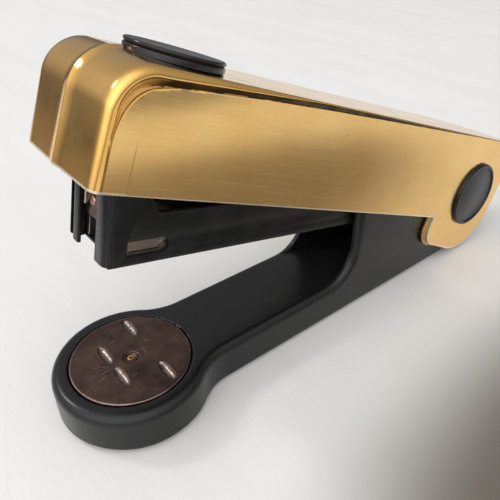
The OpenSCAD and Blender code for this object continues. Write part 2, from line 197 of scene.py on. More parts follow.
def tool(shape, place=in_row):
    """A closed mesh used only for cutting."""
    points, faces = shape
    obj = new_object("tool", place(points), faces)
    tidy_normals(obj.data)
    return obj


def prism(outline, low, high, across=1):
    """Points and faces of a flat outline pushed from low to high along axis number across."""
    outline = np.asarray(outline, float)
    count = len(outline)
    rings = [np.insert(outline, across, level, axis=1) for level in (low, high)]
    sides = [(i, (i + 1) % count, count + (i + 1) % count, count + i) for i in range(count)]
    ends = [tuple(range(count))[::-1], tuple(range(count, 2 * count))]
    return np.vstack(rings), sides + ends


def revolve(profile, steps=96):
    """Points and faces of a profile [(radius, height)] turned round the third axis."""
    angles = np.arange(steps) * 2 * math.pi / steps
    points = [(r * math.cos(a), r * math.sin(a), h) for r, h in profile for a in angles]
    faces = []
    for i in range(len(profile) - 1):
        for k in range(steps):
            m = (k + 1) % steps
            faces.append((i * steps + k, i * steps + m, (i + 1) * steps + m, (i + 1) * steps + k))
    return weld(points, faces)


def arc(centre, radius, start, end, steps):
    """Points on an arc, with the angles in degrees."""
    angles = np.radians(np.linspace(start, end, steps + 1))
    return [(centre[0] + radius * math.cos(a), centre[1] + radius * math.sin(a)) for a in angles]


def tube(path, radius, sides=10):
    """Points and faces of a round wire that follows a path of points."""
    path = np.asarray(path, float)
    ahead = np.gradient(path, axis=0)
    ahead /= np.linalg.norm(ahead, axis=1)[:, None]
    side = np.cross(ahead[0], [0.3, 0.9, 0.2])
    rings = []
    for point, direction in zip(path, ahead):
        side = side - direction * (side @ direction)
        side /= np.linalg.norm(side)
        other = np.cross(direction, side)
        for k in range(sides):
            a = 2 * math.pi * k / sides
            rings.append(point + radius * (math.cos(a) * side + math.sin(a) * other))
    faces = []
    for i in range(len(path) - 1):
        for k in range(sides):
            m = (k + 1) % sides
            faces.append((i * sides + k, i * sides + m, (i + 1) * sides + m, (i + 1) * sides + k))
    faces.append(tuple(range(sides))[::-1])
    faces.append(tuple(range((len(path) - 1) * sides, len(path) * sides)))
    return np.array(rings), faces


def joined(*parts):
    """Several (points, faces) as one."""
    points, faces, start = [], [], 0
    for part_points, part_faces in parts:
        points.append(np.asarray(part_points, float).reshape(-1, 3))
        faces += [[i + start for i in f] for f in part_faces]
        start += len(points[-1])
    return np.vstack(points), faces


def stacked(rings):
    """A closed form through rings that all have the same number of points."""
    count = len(rings[0])
    faces = [tuple(range(count))[::-1], tuple(range((len(rings) - 1) * count, len(rings) * count))]
    for level in range(len(rings) - 1):
        for i in range(count):
            k = (i + 1) % count
            low, high = level * count, (level + 1) * count
            faces.append((low + i, low + k, high + k, high + i))
    return np.vstack(rings), faces


def helix(start, turns, reach, radius, per_turn=24, clockwise=False):
    """Points (a, b, along) round an axis, from an angle in degrees."""
    t = np.linspace(0, 1, int(abs(turns) * per_turn) + 1)
    angle = math.radians(start) + (-1 if clockwise else 1) * t * turns * 2 * math.pi
    return np.c_[radius * np.cos(angle), radius * np.sin(angle), reach[0] + t * (reach[1] - reach[0])]


def smooth_path(points, steps):
    """A curve through the points, with steps pieces between each pair."""
    points = np.asarray(points, float)
    padded = np.vstack([2 * points[0] - points[1], points, 2 * points[-1] - points[-2]])
    out = []
    for i in range(len(points) - 1):
        a, b, c, d = padded[i:i + 4]
        square, cube = 2 * a - 5 * b + 4 * c - d, 3 * b - a - 3 * c + d
        out += [0.5 * (2 * b + (c - a) * t + square * t**2 + cube * t**3) for t in np.arange(steps) / steps]
    out.append(points[-1])
    return np.array(out)


# ---- materials ----

class Paint:
    """A material being mixed: adds nodes and gives back their outputs."""

    def __init__(self, name, colour, metallic=0.0, **sockets):
        self.material = bpy.data.materials.new(name)
        self.material.use_nodes = True
        self.tree = self.material.node_tree
        self.shader = self.tree.nodes["Principled BSDF"]
        self.shader.inputs["Base Color"].default_value = (*colour, 1)
        self.shader.inputs["Metallic"].default_value = metallic
        for socket, value in sockets.items():
            self.shader.inputs[socket.replace("_", " ")].default_value = value

    def add(self, kind, links=(), **settings):
        node = self.tree.nodes.new("ShaderNode" + kind)
        for key, value in settings.items():
            setattr(node, key, value)
        for socket, source in dict(links).items():
            if hasattr(source, "is_output"):
                self.tree.links.new(source, node.inputs[socket])
            else:
                node.inputs[socket].default_value = source
        return node

    def place(self, stretch=(1, 1, 1), angle=0.0):
        """Position on the piece in millimetres, divided by the stretch along tilted axes."""
        where = self.add("TexCoord").outputs["Object"]
        mapping = self.add(
            "Mapping",
            {
                "Vector": where,
                "Location": tuple(HINGE * MM),
                "Rotation": (0, math.radians(angle), 0),
                "Scale": tuple(MM * s for s in stretch),
            },
            vector_type="TEXTURE",
        )
        return mapping.outputs["Vector"]

    def noise(self, size, detail=2.0, where=None, roughness=0.5, **place):
        """Noise with features of about the given size in millimetres."""
        vector = where or self.place(**place)
        links = {"Vector": vector, "Scale": 1 / size, "Detail": detail, "Roughness": roughness}
        return self.add("TexNoise", links).outputs["Fac"]

    def span(self, value, low, high, to_low, to_high, smooth=False):
        links = {"Value": value, "From Min": low, "From Max": high, "To Min": to_low, "To Max": to_high}
        kind = "SMOOTHSTEP" if smooth else "LINEAR"
        return self.add("MapRange", links, interpolation_type=kind).outputs["Result"]

    def maths(self, operation, first, second):
        return self.add("Math", {0: first, 1: second}, operation=operation).outputs[0]

    def blend(self, amount, first, second):
        """Colour that goes from first to second with the amount."""
        node = self.add("Mix", data_type="RGBA")
        for socket, source in ((node.inputs[0], amount), (node.inputs[6], first), (node.inputs[7], second)):
            if hasattr(source, "is_output"):
                self.tree.links.new(source, socket)
            else:
                socket.default_value = (*source, 1) if isinstance(source, tuple) else source
        return node.outputs[2]

    def colour(self, source):
        self.tree.links.new(source, self.shader.inputs["Base Color"])

    def rough(self, source):
        self.tree.links.new(source, self.shader.inputs["Roughness"])

    def bump(self, *layers):
        """Layers are (height source, depth in millimetres), from coarse to fine."""
        normal = None
        for height, depth in layers:
            links = {"Height": height, "Distance": depth * MM, "Strength": 1.0}
            if normal:
                links["Normal"] = normal
            normal = self.add("Bump", links).outputs["Normal"]
        self.tree.links.new(normal, self.shader.inputs["Normal"])


def metal(name, colour, tarnish, rough, grain=(0.25, 0.004), stretch=(1, 1, 1), angle=0.0, blotch=6.0):
    """Bare or plated metal: patchy colour and gloss over a fine grain."""
    paint = Paint(name, colour, metallic=1.0)
    patches = paint.noise(blotch, 4)
    paint.colour(paint.blend(paint.span(patches, 0.4, 0.7, 0, 1), colour, tarnish))
    size, depth = grain
    fine = paint.noise(size, 3, stretch=stretch, angle=angle)
    uneven = paint.span(patches, 0.35, 0.7, rough[0], rough[1])
    paint.rough(paint.maths("ADD", uneven, paint.span(fine, 0.3, 0.7, -0.03, 0.03)))
    paint.bump((fine, depth))
    return paint.material


def moulded(name, colour, wear_and_reflection, rough, grain=(0.3, 0.01), peel=(2.5, 0.02), **sockets):
    """Paint, plastic or rubber: slightly uneven colour, a broad ripple and a fine grain."""
    paint = Paint(name, colour, **sockets)
    patches = paint.noise(7.0, 5)
    speck = paint.noise(0.5, 2)
    mix = paint.maths("MULTIPLY", paint.span(patches, 0.4, 0.75, 0, 1), paint.span(speck, 0.4, 0.7, 0.3, 1))
    paint.colour(paint.blend(mix, colour, wear_and_reflection))
    paint.rough(paint.span(paint.maths("ADD", patches, speck), 0.7, 1.3, rough[0], rough[1]))
    paint.bump((paint.noise(peel[0], 2), peel[1]), (paint.noise(grain[0], 2), grain[1]))
    return paint.material


def gold_polished():
    """The bright front, rim and top of the cover, with faint handling marks."""
    light, deep = (0.93, 0.56, 0.18), (0.86, 0.47, 0.12)
    paint = Paint("gold_polished", light, metallic=1.0)
    patches = paint.noise(9.0, 5)
    paint.colour(paint.blend(paint.span(patches, 0.35, 0.75, 0, 1), light, deep))
    smear = paint.noise(3.0, 4, stretch=(2, 1, 1), angle=COVER_ANGLE)
    paint.rough(paint.span(smear, 0.3, 0.7, 0.09, 0.18))
    paint.bump((paint.noise(4.0, 2), 0.004), (paint.noise(0.35, 2), 0.0015))
    return paint.material


def gold_brushed():
    """The pressed side panels: satin, with fine lines along the cover and small spots."""
    light, deep = (1.0, 0.67, 0.27), (0.93, 0.58, 0.21)
    paint = Paint("gold_brushed", light, metallic=1.0)
    patches = paint.noise(12.0, 4)
    lines = paint.noise(0.16, 3, stretch=(60, 1, 1), angle=COVER_ANGLE)
    broad = paint.noise(1.1, 2, stretch=(25, 1, 1), angle=COVER_ANGLE)
    spots = paint.span(paint.noise(0.9, 0), 0.86, 0.90, 0, 1, smooth=True)
    base = paint.blend(paint.span(patches, 0.35, 0.75, 0, 1), light, deep)
    paint.colour(paint.blend(paint.maths("MULTIPLY", spots, 0.5), base, (0.42, 0.22, 0.07)))
    brushed = paint.span(lines, 0.3, 0.7, 0.21, 0.27)
    paint.rough(paint.maths("ADD", brushed, paint.span(broad, 0.3, 0.7, -0.01, 0.02)))
    paint.bump((lines, 0.0014))
    return paint.material


def gold_slope():
    """The narrow slope under the rolled edge: gold at the nose, and behind it a painted reflection, nearly
    black, of the black magazine and arm that the slope mirrors.
    """
    # dark is the colour of the painted reflection.
    gold, dark = (0.84, 0.47, 0.14), (0.022, 0.013, 0.008)
    gold_ends, dark_starts = -119, -112
    paint = Paint("gold_slope", gold, metallic=1.0)
    u = paint.add("SeparateXYZ", {0: paint.place(angle=COVER_ANGLE)}).outputs["X"]
    behind = paint.span(u, gold_ends, dark_starts, 0, 1, smooth=True)
    # Painted reflection: the slope darkens behind the nose, with some random unevenness.
    wear_and_reflection = paint.maths("ADD", behind, paint.span(paint.noise(5.0, 3), 0.3, 0.7, -0.15, 0.15))
    paint.colour(paint.blend(paint.span(wear_and_reflection, 0, 1, 0, 1), gold, dark))
    paint.rough(paint.span(paint.noise(3.0, 3), 0.3, 0.7, 0.16, 0.26))
    paint.bump((paint.noise(0.35, 2), 0.0015))
    return paint.material


def black_enamel():
    """Satin black paint on the casting, with a fine orange peel and small sparkles."""
    black, grey = (0.007, 0.007, 0.0072), (0.026, 0.025, 0.025)
    paint = Paint("black_enamel", black, Specular_IOR_Level=0.38)
    patches = paint.noise(11.0, 5)
    dust = paint.span(paint.noise(0.35, 1), 0.66, 0.74, 0, 1)
    dusty = paint.maths("MULTIPLY", dust, paint.span(patches, 0.3, 0.7, 0.1, 0.8))
    paint.colour(paint.blend(dusty, black, grey))
    peel = paint.noise(0.55, 2)
    paint.rough(paint.span(patches, 0.3, 0.7, 0.24, 0.36))
    paint.bump((paint.noise(5.0, 2), 0.02), (peel, 0.02))
    return paint.material


def anvil_steel():
    """Dark brown oiled steel, cloudy, with scratches where staples have slipped."""
    brown, dark = (0.125, 0.076, 0.060), (0.045, 0.027, 0.022)
    paint = Paint("anvil_steel", brown, metallic=0.85)
    clouds = paint.noise(6.0, 6, roughness=0.6)
    fine = paint.noise(0.9, 4)
    paint.colour(paint.blend(paint.span(clouds, 0.35, 0.7, 0, 1), brown, dark))
    scratch = paint.noise(0.12, 1, stretch=(40, 1, 1))
    lines = paint.span(scratch, 0.70, 0.76, 0, 1)
    polished = paint.maths("MULTIPLY", lines, 0.12)
    paint.rough(paint.maths("SUBTRACT", paint.span(fine, 0.3, 0.7, 0.30, 0.50), polished))
    paint.bump((clouds, 0.02), (fine, 0.006))
    return paint.material


GOLD_POLISHED = gold_polished()
GOLD_BRUSHED = gold_brushed()
GOLD_SLOPE = gold_slope()
GOLD_EDGE = metal("gold_edge", (1.0, 0.88, 0.66), (0.98, 0.80, 0.54), (0.30, 0.42), blotch=3.0)
GLOSS_BLACK = moulded(
    "gloss_black", (0.003, 0.003, 0.0033), (0.008, 0.008, 0.008), (0.05, 0.11),
    grain=(0.3, 0.002), peel=(4.0, 0.006), Specular_IOR_Level=0.35,
)
GOLD_INSIDE = metal("gold_inside", (0.10, 0.065, 0.035), (0.05, 0.033, 0.02), (0.35, 0.5))
GOLD_LINER = metal(
    "gold_liner", (0.62, 0.40, 0.15), (0.45, 0.26, 0.09), (0.22, 0.36),
    angle=COVER_ANGLE, stretch=(12, 1, 1),
)
ENAMEL = black_enamel()
SHEET = moulded(
    "black_sheet", (0.004, 0.004, 0.0043), (0.016, 0.016, 0.016), (0.26, 0.40),
    grain=(0.4, 0.006), peel=(6.0, 0.02), Specular_IOR_Level=0.28,
)
RUBBER = moulded(
    "black_rubber", (0.015, 0.015, 0.015), (0.028, 0.027, 0.026), (0.62, 0.82), grain=(0.25, 0.02),
)
PLASTIC = moulded(
    "black_plastic", (0.005, 0.005, 0.0053), (0.012, 0.012, 0.012), (0.16, 0.26),
    grain=(0.3, 0.003), peel=(3.0, 0.008), Specular_IOR_Level=0.4,
)
GREY_PLASTIC = moulded(
    "grey_plastic", (0.030, 0.030, 0.032), (0.055, 0.055, 0.057), (0.34, 0.46), grain=(0.25, 0.008),
)
ANVIL = anvil_steel()
ANVIL_GROOVE = metal(
    "anvil_groove", (0.34, 0.28, 0.25), (0.12, 0.085, 0.07), (0.26, 0.44), grain=(0.35, 0.02), blotch=0.9,
)
ANVIL_RIM = metal("anvil_rim", (0.30, 0.22, 0.19), (0.14, 0.09, 0.08), (0.22, 0.36), blotch=3.0)
BRASS = metal("brass_post", (0.66, 0.43, 0.17), (0.32, 0.19, 0.08), (0.25, 0.45), blotch=1.2)
BLADE_STEEL = metal("blade_steel", (0.22, 0.16, 0.13), (0.10, 0.07, 0.055), (0.24, 0.40), blotch=2.5)
GUIDE_STEEL = metal("guide_steel", (0.30, 0.25, 0.21), (0.17, 0.135, 0.11), (0.30, 0.46))
STEEL = metal("steel", (0.50, 0.48, 0.46), (0.30, 0.27, 0.25), (0.28, 0.46))
PIN_STEEL = metal("pin_steel", (0.56, 0.56, 0.56), (0.42, 0.41, 0.40), (0.18, 0.30), blotch=3.0)
SPRING_STEEL = metal("spring_steel", (0.36, 0.35, 0.34), (0.22, 0.20, 0.18), (0.26, 0.42), blotch=3.0)
STAPLE_WIRE = metal("staple_wire", (0.62, 0.52, 0.46), (0.44, 0.35, 0.30), (0.20, 0.32), blotch=2.0)
COPPER = metal("copper_rivet", (0.55, 0.30, 0.22), (0.34, 0.18, 0.14), (0.25, 0.42), blotch=1.0)
ZINC = metal("zinc_screw", (0.55, 0.55, 0.53), (0.40, 0.40, 0.38), (0.28, 0.42), blotch=2.0)
NYLON = moulded("nylon", (0.62, 0.60, 0.55), (0.50, 0.48, 0.43), (0.38, 0.5))

# CAD nodes whose shape is right keep it, and take a finished material.
KEPT = {
    "rubber_sole": RUBBER,
    "sole_screws": ZINC,
    "pivot_pin": PIN_STEEL,
    "pivot_washers": NYLON,
    "lift_spring_rivets": ZINC,
    "anvil_washer": STEEL,
    "anvil_clip": SPRING_STEEL,
    "guide_left": GUIDE_STEEL,
    "guide_right": GUIDE_STEEL,
    "rail_rivets": SHEET,
    "spring_stop": STEEL,
    "guide_rod": PIN_STEEL,
    "tail_bush": PIN_STEEL,
    "button_screw": ZINC,
}
for node_name, node_material in KEPT.items():
    node = frame["nodes"][node_name]
    if not node.material_slots:
        node.data.materials.append(node_material)
    for material_slot in node.material_slots:
        material_slot.material = node_material


# ---- cover ----

FRONT, REAR, LOW = -121.9, 15.6, -8.25
SLOPE = math.radians(2.54)
TOP_OVER_HINGE = 16.98
NOSE_R = 7.5
TAIL_R = 3.0
HALF = 13.25
SHEET_T = 1.2
REAR_WALL_LOW = 3.0
LUG_R = 15.3
LUG = (REAR - LUG_R, -2.85)
EAR_CORNER = (-11.4, -11.3)
EAR_R = 5.4
LINER_EAR_R = 6.2
PANEL_IN = 1.7
PANEL_R = 10.3
MIN_T = 0.45
CREASE_HALF = 2.6
CREASE_HIGH = 0.40
BOW = 0.30
LINER_INSET = 1.25
LINER_T = 0.7
LINER_START = -75
CAP_R = 9.6
EDGE_STRIP = 0.4
# Marks of the sheet's faces, which are also the numbers of its materials.
PLAIN, PANEL, INNER, UNDERCUT, EDGE = range(5)
SHEET_MATERIALS = [GOLD_POLISHED, GOLD_BRUSHED, GOLD_INSIDE, GOLD_SLOPE, GOLD_EDGE]


def top_at(u):
    return TOP_OVER_HINGE + u * math.tan(SLOPE)


NOSE = (FRONT + NOSE_R, top_at(FRONT + NOSE_R) - NOSE_R / math.cos(SLOPE))
TAIL = (REAR - TAIL_R, top_at(REAR - TAIL_R) - TAIL_R / math.cos(SLOPE))


def fade(value, start, end):
    """Goes smoothly from 0 at start to 1 at end."""
    t = np.clip((np.asarray(value, float) - start) / (end - start), 0, 1)
    return t * t * (3 - 2 * t)


def rim_radius(u):
    """Radius of the rolled edge between the top and the sides: large at the nose, tight behind."""
    return 0.22 + 1.18 * np.clip((-78 - u) / 34, 0, 1)


def panel_taper(u):
    """How far the pressed panel's upper edge lies below the top, and how deep it is pressed there."""
    behind = np.clip(-12 - u, 0, None)
    below = 0.45 + 0.0135 * behind + 1.25 * np.exp(-(u + 112) / 16)
    deep = 0.0085 * behind + 0.7 * np.exp(-np.clip(u + 110, 0, None) / 16)
    return below, deep * fade(u, -8, -22)


def panel_inside(u, n):
    """Distance inside the edge of the pressed panel, negative outside it."""
    below, _ = panel_taper(u)
    corner_u = FRONT + PANEL_IN + PANEL_R
    corner_n = top_at(corner_u) - panel_taper(corner_u)[0] - PANEL_R
    straight = np.minimum(u - FRONT - PANEL_IN, top_at(u) - below - n)
    curved = PANEL_R - np.hypot(u - corner_u, n - corner_n)
    return np.where((u < corner_u) & (n > corner_n), curved, straight)


def pressed_depth(u, n, from_edge, start):
    """How far the side is pressed in, at a distance from the outline. It begins at start."""
    below, deep = panel_taper(u)
    low_fade = np.clip((n - LOW) / (top_at(u) - below - LOW), 0, 1) ** 2.8
    run = np.maximum(from_edge - start, 0)
    room = np.maximum(run + np.maximum(-panel_inside(u, n), 0), 0.15)
    t = np.clip(run / room, 0, 1)
    bend = 0.2
    low = t**2 / (2 * bend)
    high = 1 - bend - (1 - t) ** 2 / (2 * bend)
    ramp = np.where(t < bend, low, np.where(t > 1 - bend, high, t - bend / 2)) / (1 - bend)
    return deep * low_fade * ramp


def outline_stations(inset, start):
    """Stations (u, n, outward normal) of the side view from the lower front, or from a start on
    the top, over the top and down the rear wall."""
    stations = []
    s, c = math.sin(SLOPE), math.cos(SLOPE)
    if start is None:
        for n in (LOW, *np.linspace(LOW + EDGE_STRIP, NOSE[1], 19)[:-1]):
            stations.append((FRONT + inset, n, -1.0, 0.0))
        for a in np.radians(np.linspace(180, 90 + math.degrees(SLOPE), 37)[:-1]):
            r = NOSE_R - inset
            stations.append((NOSE[0] + r * math.cos(a), NOSE[1] + r * math.sin(a), math.cos(a), math.sin(a)))
        start = NOSE[0] - NOSE_R * s
    end = TAIL[0] - TAIL_R * s
    count = int(round((end - start) / 1.6))
    dense = np.linspace(EAR_CORNER[0] - 6.4, EAR_CORNER[0] - 1, 28)
    even = [u for u in np.linspace(start, end, count + 1)[:-1] if not dense[0] - 0.2 < u < dense[-1] + 0.2]
    for u in sorted([*even, *dense]):
        stations.append((u + inset * s, top_at(u) - inset * c, -s, c))
    for a in np.radians(np.linspace(90 + math.degrees(SLOPE), 0, 13)[:-1]):
        r = max(TAIL_R - inset, 0.3)
        stations.append((TAIL[0] + r * math.cos(a), TAIL[1] + r * math.sin(a), math.cos(a), math.sin(a)))
    for n in np.linspace(TAIL[1], REAR_WALL_LOW, 9):
        stations.append((REAR - inset, n, 1.0, 0.0))
    return np.array(stations)


def underside(u, low, corner_r, ear_r):
    """Height of the sides' lower edge: straight at low, then a tight corner and the round ear."""
    corner = np.array(EAR_CORNER)
    gap = np.array(LUG) - corner
    lean = math.atan2(gap[1], gap[0]) - math.acos((corner_r - ear_r) / np.linalg.norm(gap))
    out = np.array([math.cos(lean), math.sin(lean)])
    first, last = corner + corner_r * out, np.array(LUG) + ear_r * out
    if u <= corner[0] - corner_r:
        return low
    if u <= first[0]:
        return min(low, corner[1] - math.sqrt(corner_r**2 - (u - corner[0]) ** 2))
    if u <= last[0]:
        return first[1] + (last[1] - first[1]) * (u - first[0]) / (last[0] - first[0])
    return LUG[1] - math.sqrt(max(ear_r**2 - (u - LUG[0]) ** 2, 0))


def grid_faces(rows, columns, start=0):
    """Faces of a grid of points kept row by row."""
    corners = [start + i * columns + k for i in range(rows - 1) for k in range(columns - 1)]
    return [(c, c + 1, c + columns + 1, c + columns) for c in corners]


def every_corner(grid):
    """True for the faces of a grid whose four corners are all true."""
    return grid[:-1, :-1] & grid[1:, :-1] & grid[:-1, 1:] & grid[1:, 1:]


class Sheet:
    """A sheet made of grids, each with its outer and its inner face."""

    def __init__(self):
        self.outer, self.inner, self.faces, self.marks = [], [], [], []
        self.count = 0

    def add(self, outer, inner, rows, columns, marks):
        self.outer.append(outer)
        self.inner.append(inner)
        self.faces += grid_faces(rows, columns, self.count)
        self.marks += list(marks)
        self.count += len(outer)

    def closed(self):
        """Points, faces and marks of the closed sheet: outer face, inner face and the edges."""
        outer, inner = np.vstack(self.outer), np.vstack(self.inner)
        first, back = merged(outer)
        outer, inner = outer[first], inner[first]
        faces, marks, owners = [], [], {}
        for face, mark in zip(self.faces, self.marks):
            ring = ring_of(face, back)
            if len(set(ring)) < 3:
                continue
            faces.append(ring)
            marks.append(mark)
            for k, v in enumerate(ring):
                owners.setdefault(frozenset((ring[k - 1], v)), []).append((ring[k - 1], v))
        size = len(outer)
        inside = [[v + size for v in face[::-1]] for face in faces]
        edges = [pairs[0] for pairs in owners.values() if len(pairs) == 1]
        rim = [[b, a, a + size, b + size] for a, b in edges]
        marks = marks + [INNER] * len(inside) + [EDGE] * len(rim)
        points = np.vstack([outer, inner])
        first, back = merged(points)
        done, kept = [], []
        for face, mark in zip(faces + inside + rim, marks):
            ring = ring_of(face, back)
            if len(set(ring)) == len(ring) > 2:
                done.append(ring)
                kept.append(mark)
        return points[first], done, kept


def cover_sheet(inset, half, thick, start, shaped, corner_r, ear_r):
    """The sheet of the cover or of its liner, as points, faces and marks of the faces.
    A shaped sheet has the rolled edge, the crease at the nose and the pressed panels."""
    ear = (LOW + inset, corner_r, ear_r)
    sheet = Sheet()
    stations = outline_stations(inset, start)
    u, n, du, dn = stations.T
    edge = rim_radius(u) if shaped else np.full(len(u), 0.5)
    crown = 0.1 * fade(dn, 0.0, 0.9) if shaped else 0 * u
    crease = fade(u, -100, -112) if shaped else 0 * u

    def inner_of(points, normal_u, normal_n, from_edge):
        shift = np.maximum(thick - from_edge, 0)
        wide = np.abs(points[:, 1])
        flat = from_edge < thick
        limit = np.where(flat, half - thick, wide - MIN_T)
        y = np.sign(points[:, 1]) * np.minimum(wide, np.minimum(half - thick, limit))
        return np.c_[points[:, 0] - normal_u * shift, y, points[:, 2] - normal_n * shift]

    # The band over the top, from the rolled edge on one side to that on the other.
    turn = np.radians(np.linspace(90, 0, 9))
    near = CREASE_HALF * np.linspace(0, 1, 15) ** 1.4 / (half - 1.5)
    shares = np.concatenate([near, np.linspace(near[-1], 1, 11)[1:]])
    halves = []
    for side in (-1, 1):
        y = side * np.outer(half - edge, shares)
        soft = np.sqrt(y * y + 0.1**2)
        ridge = CREASE_HIGH * np.clip(1 - soft / CREASE_HALF, 0, 1) ** 2
        h = crease[:, None] * (ridge + BOW * (1 - np.abs(y) / half)) - crown[:, None] * (y / half) ** 2
        roll_y = side * ((half - edge)[:, None] + np.outer(edge, np.cos(turn)))
        roll_h = -crown[:, None] - np.outer(edge, 1 - np.sin(turn))
        halves.append((np.hstack([y, roll_y[:, 1:]]), np.hstack([h, roll_h[:, 1:]])))
    y = np.hstack([halves[0][0][:, :0:-1], halves[1][0]])
    h = np.hstack([halves[0][1][:, :0:-1], halves[1][1]])
    points = np.c_[(u[:, None] + du[:, None] * h).ravel(), y.ravel(), (n[:, None] + dn[:, None] * h).ravel()]
    normals = np.repeat(du, y.shape[1]), np.repeat(dn, y.shape[1])
    inner = inner_of(points, *normals, -h.ravel())
    marks = np.zeros((y.shape[0] - 1, y.shape[1] - 1), int)
    marks[0] = EDGE if shaped else PLAIN
    sheet.add(points, inner, *y.shape, marks.ravel())

    reach = 2.3 + 3.7 * fade(u, -70, -105) if shaped else np.full(len(u), 1.2)
    first = crown + edge
    steps = np.linspace(0, 1, 22) ** 1.25
    w = first[:, None] + np.outer(reach - first, steps)
    su, sn = u[:, None] - du[:, None] * w, n[:, None] - dn[:, None] * w
    rows = 19
    column = np.append(np.linspace(0, 0.985, rows - 1), 1.0)
    over = dn > 1e-6
    last_column = sn[~over & (du > 0), -1]

    for side in (-1, 1):

        def side_grid(gu, gn, gw, normal_u=0.0, normal_n=0.0, lowest=None):
            depth = pressed_depth(gu, gn, gw, first[:, None] if gw is w else 1.0) if shaped else 0 * gu
            points = np.c_[gu.ravel(), side * (half - depth).ravel(), gn.ravel()]
            normals = [np.broadcast_to(v, gu.shape).ravel() for v in (normal_u, normal_n)]
            inner = inner_of(points, *normals, np.broadcast_to(gw, gu.shape).ravel())
            inside = panel_inside(gu, gn)
            in_panel = every_corner((inside > -0.05) & shaped)
            # Faces of the slope under the rolled edge, which take gold_slope's painted reflection.
            slope = every_corner((inside < 0.05) & (gn > top_at(gu) - 3.2) & (gu > -118) & shaped)
            marks = np.where(in_panel, PANEL, np.where(slope, UNDERCUT, PLAIN))
            if shaped and lowest:
                marks[lowest] = EDGE
            sheet.add(points, inner, *gu.shape, marks.ravel())

        side_grid(su, sn, w, du[:, None], dn[:, None], np.s_[0, :])
        # Columns from the inner end of that zone down to the lower edge.
        tops = np.c_[su[over, -1], sn[over, -1]]
        bottoms = np.array([underside(t, *ear) for t in tops[:, 0]])
        fu = np.repeat(tops[:, :1], rows, axis=1)
        fn = tops[:, 1:] + (bottoms - tops[:, 1])[:, None] * column
        # The last column follows the rear end of the zone, then goes on down.
        end_u = su[-1, -1]
        below = np.linspace(REAR_WALL_LOW, underside(end_u, *ear), rows - len(last_column) + 1)[1:]
        fu = np.vstack([fu, np.full((1, rows), end_u)])
        fn = np.vstack([fn, np.concatenate([last_column, below])])
        side_grid(fu, fn, np.full(fu.shape, 9.0), lowest=np.s_[:, -1])
        # The ear's edge, below the rear wall.
        ear_u = np.repeat(su[-1:, :].T, len(below) + 1, axis=1)
        share = (np.concatenate([[REAR_WALL_LOW], below]) - REAR_WALL_LOW) / (below[-1] - REAR_WALL_LOW)
        ear_low = np.array([underside(e, *ear) for e in su[-1]])
        ear_n = REAR_WALL_LOW + (ear_low - REAR_WALL_LOW)[:, None] * share
        side_grid(ear_u, ear_n, np.full(ear_u.shape, 9.0))
    return sheet.closed()


def make_cover():
    """The gold sheet, cut out for the caps, and the lining inside it."""
    *shape, marks = cover_sheet(0, HALF, SHEET_T, None, True, EAR_R, LUG_R)
    coats = SHEET_MATERIALS
    shell = make_piece("cover_sheet", shape, "cover", coats, ["cover_shell"], indices=marks)
    hole = prism(arc((0, 0), CAP_R + 0.05, 0, 360, 96)[:-1], -20, 20)
    cut(shell, tool(hole, in_cover))
    bevelled(shell, 0.3, 3, angle=55)

    half = HALF - LINER_INSET
    *shape, _ = cover_sheet(LINER_INSET, half, LINER_T, LINER_START, False, LINER_EAR_R, LUG_R - 0.05)
    liner = make_piece("cover_lining", shape, "cover", [GOLD_LINER], ["cover_liner"])
    bevelled(liner, 0.15, 2, angle=55)


make_cover()


# ---- base ----

PAD_R = 17.2
BASE_TOP = 10.4
ARM_HALF = 11.0
ARM_REAR = 116.0
EDGE_R = 2.0
WEB_R = 13.5
SOLE_T = 1.3
CHEEK_IN = 8.8
CHEEK_FRONT = 60.0
CHEEK_TOP = 32.0
CHEEK_FILLET = 9.0
CHEEK_ROUND = 12.2
RECESS_R = 13.6
RECESS_FLOOR = 9.0
SOLE_SCREWS = (28, 68, 104)
LEAF_RIVETS = (88, 96)


def soft_max(a, b, r):
    """The larger of two distances, with the edge between them rounded to radius r."""
    rounded = np.hypot(np.maximum(a + r, 0), np.maximum(b + r, 0)) - r
    return np.where((a > -r) & (b > -r), rounded, np.maximum(a, b))


def soft_min(a, b, r):
    """The smaller of two distances, with the corner between them filled to radius r."""
    return -soft_max(-a, -b, r)


def base_plan(x, y):
    """Distance outside the plan of the pad and the arm, with the hollow corners between them."""
    y = np.abs(y)
    web_y = ARM_HALF + WEB_R
    web_x = math.sqrt((PAD_R + WEB_R) ** 2 - web_y**2)
    arm = np.maximum(np.maximum(y - ARM_HALF, -x), x - ARM_REAR)
    plan = np.minimum(np.hypot(x, y) - PAD_R, arm)
    between = (x <= web_x) & (web_y * (x - web_x) >= web_x * (y - web_y))
    return np.where(between, WEB_R - np.hypot(x - web_x, y - web_y), plan)


def cheek_side(x, z):
    """Distance outside the side view of a cheek and the arm below it."""
    side = soft_min(CHEEK_FRONT - x, z - BASE_TOP, CHEEK_FILLET)
    lean = np.array([CHEEK_TOP - HINGE[2] + 10, ARM_REAR - HINGE[0]])
    lean /= np.linalg.norm(lean)
    rear = np.maximum((x - ARM_REAR) * lean[0] + (z - HINGE[2] + 10) * lean[1], x - ARM_REAR)
    side = soft_max(soft_max(side, z - CHEEK_TOP, 2.0), rear, 1.0)
    side = np.minimum(side, np.hypot(x - HINGE[0], z - HINGE[2]) - CHEEK_ROUND)
    return np.maximum(side, 40 - x)


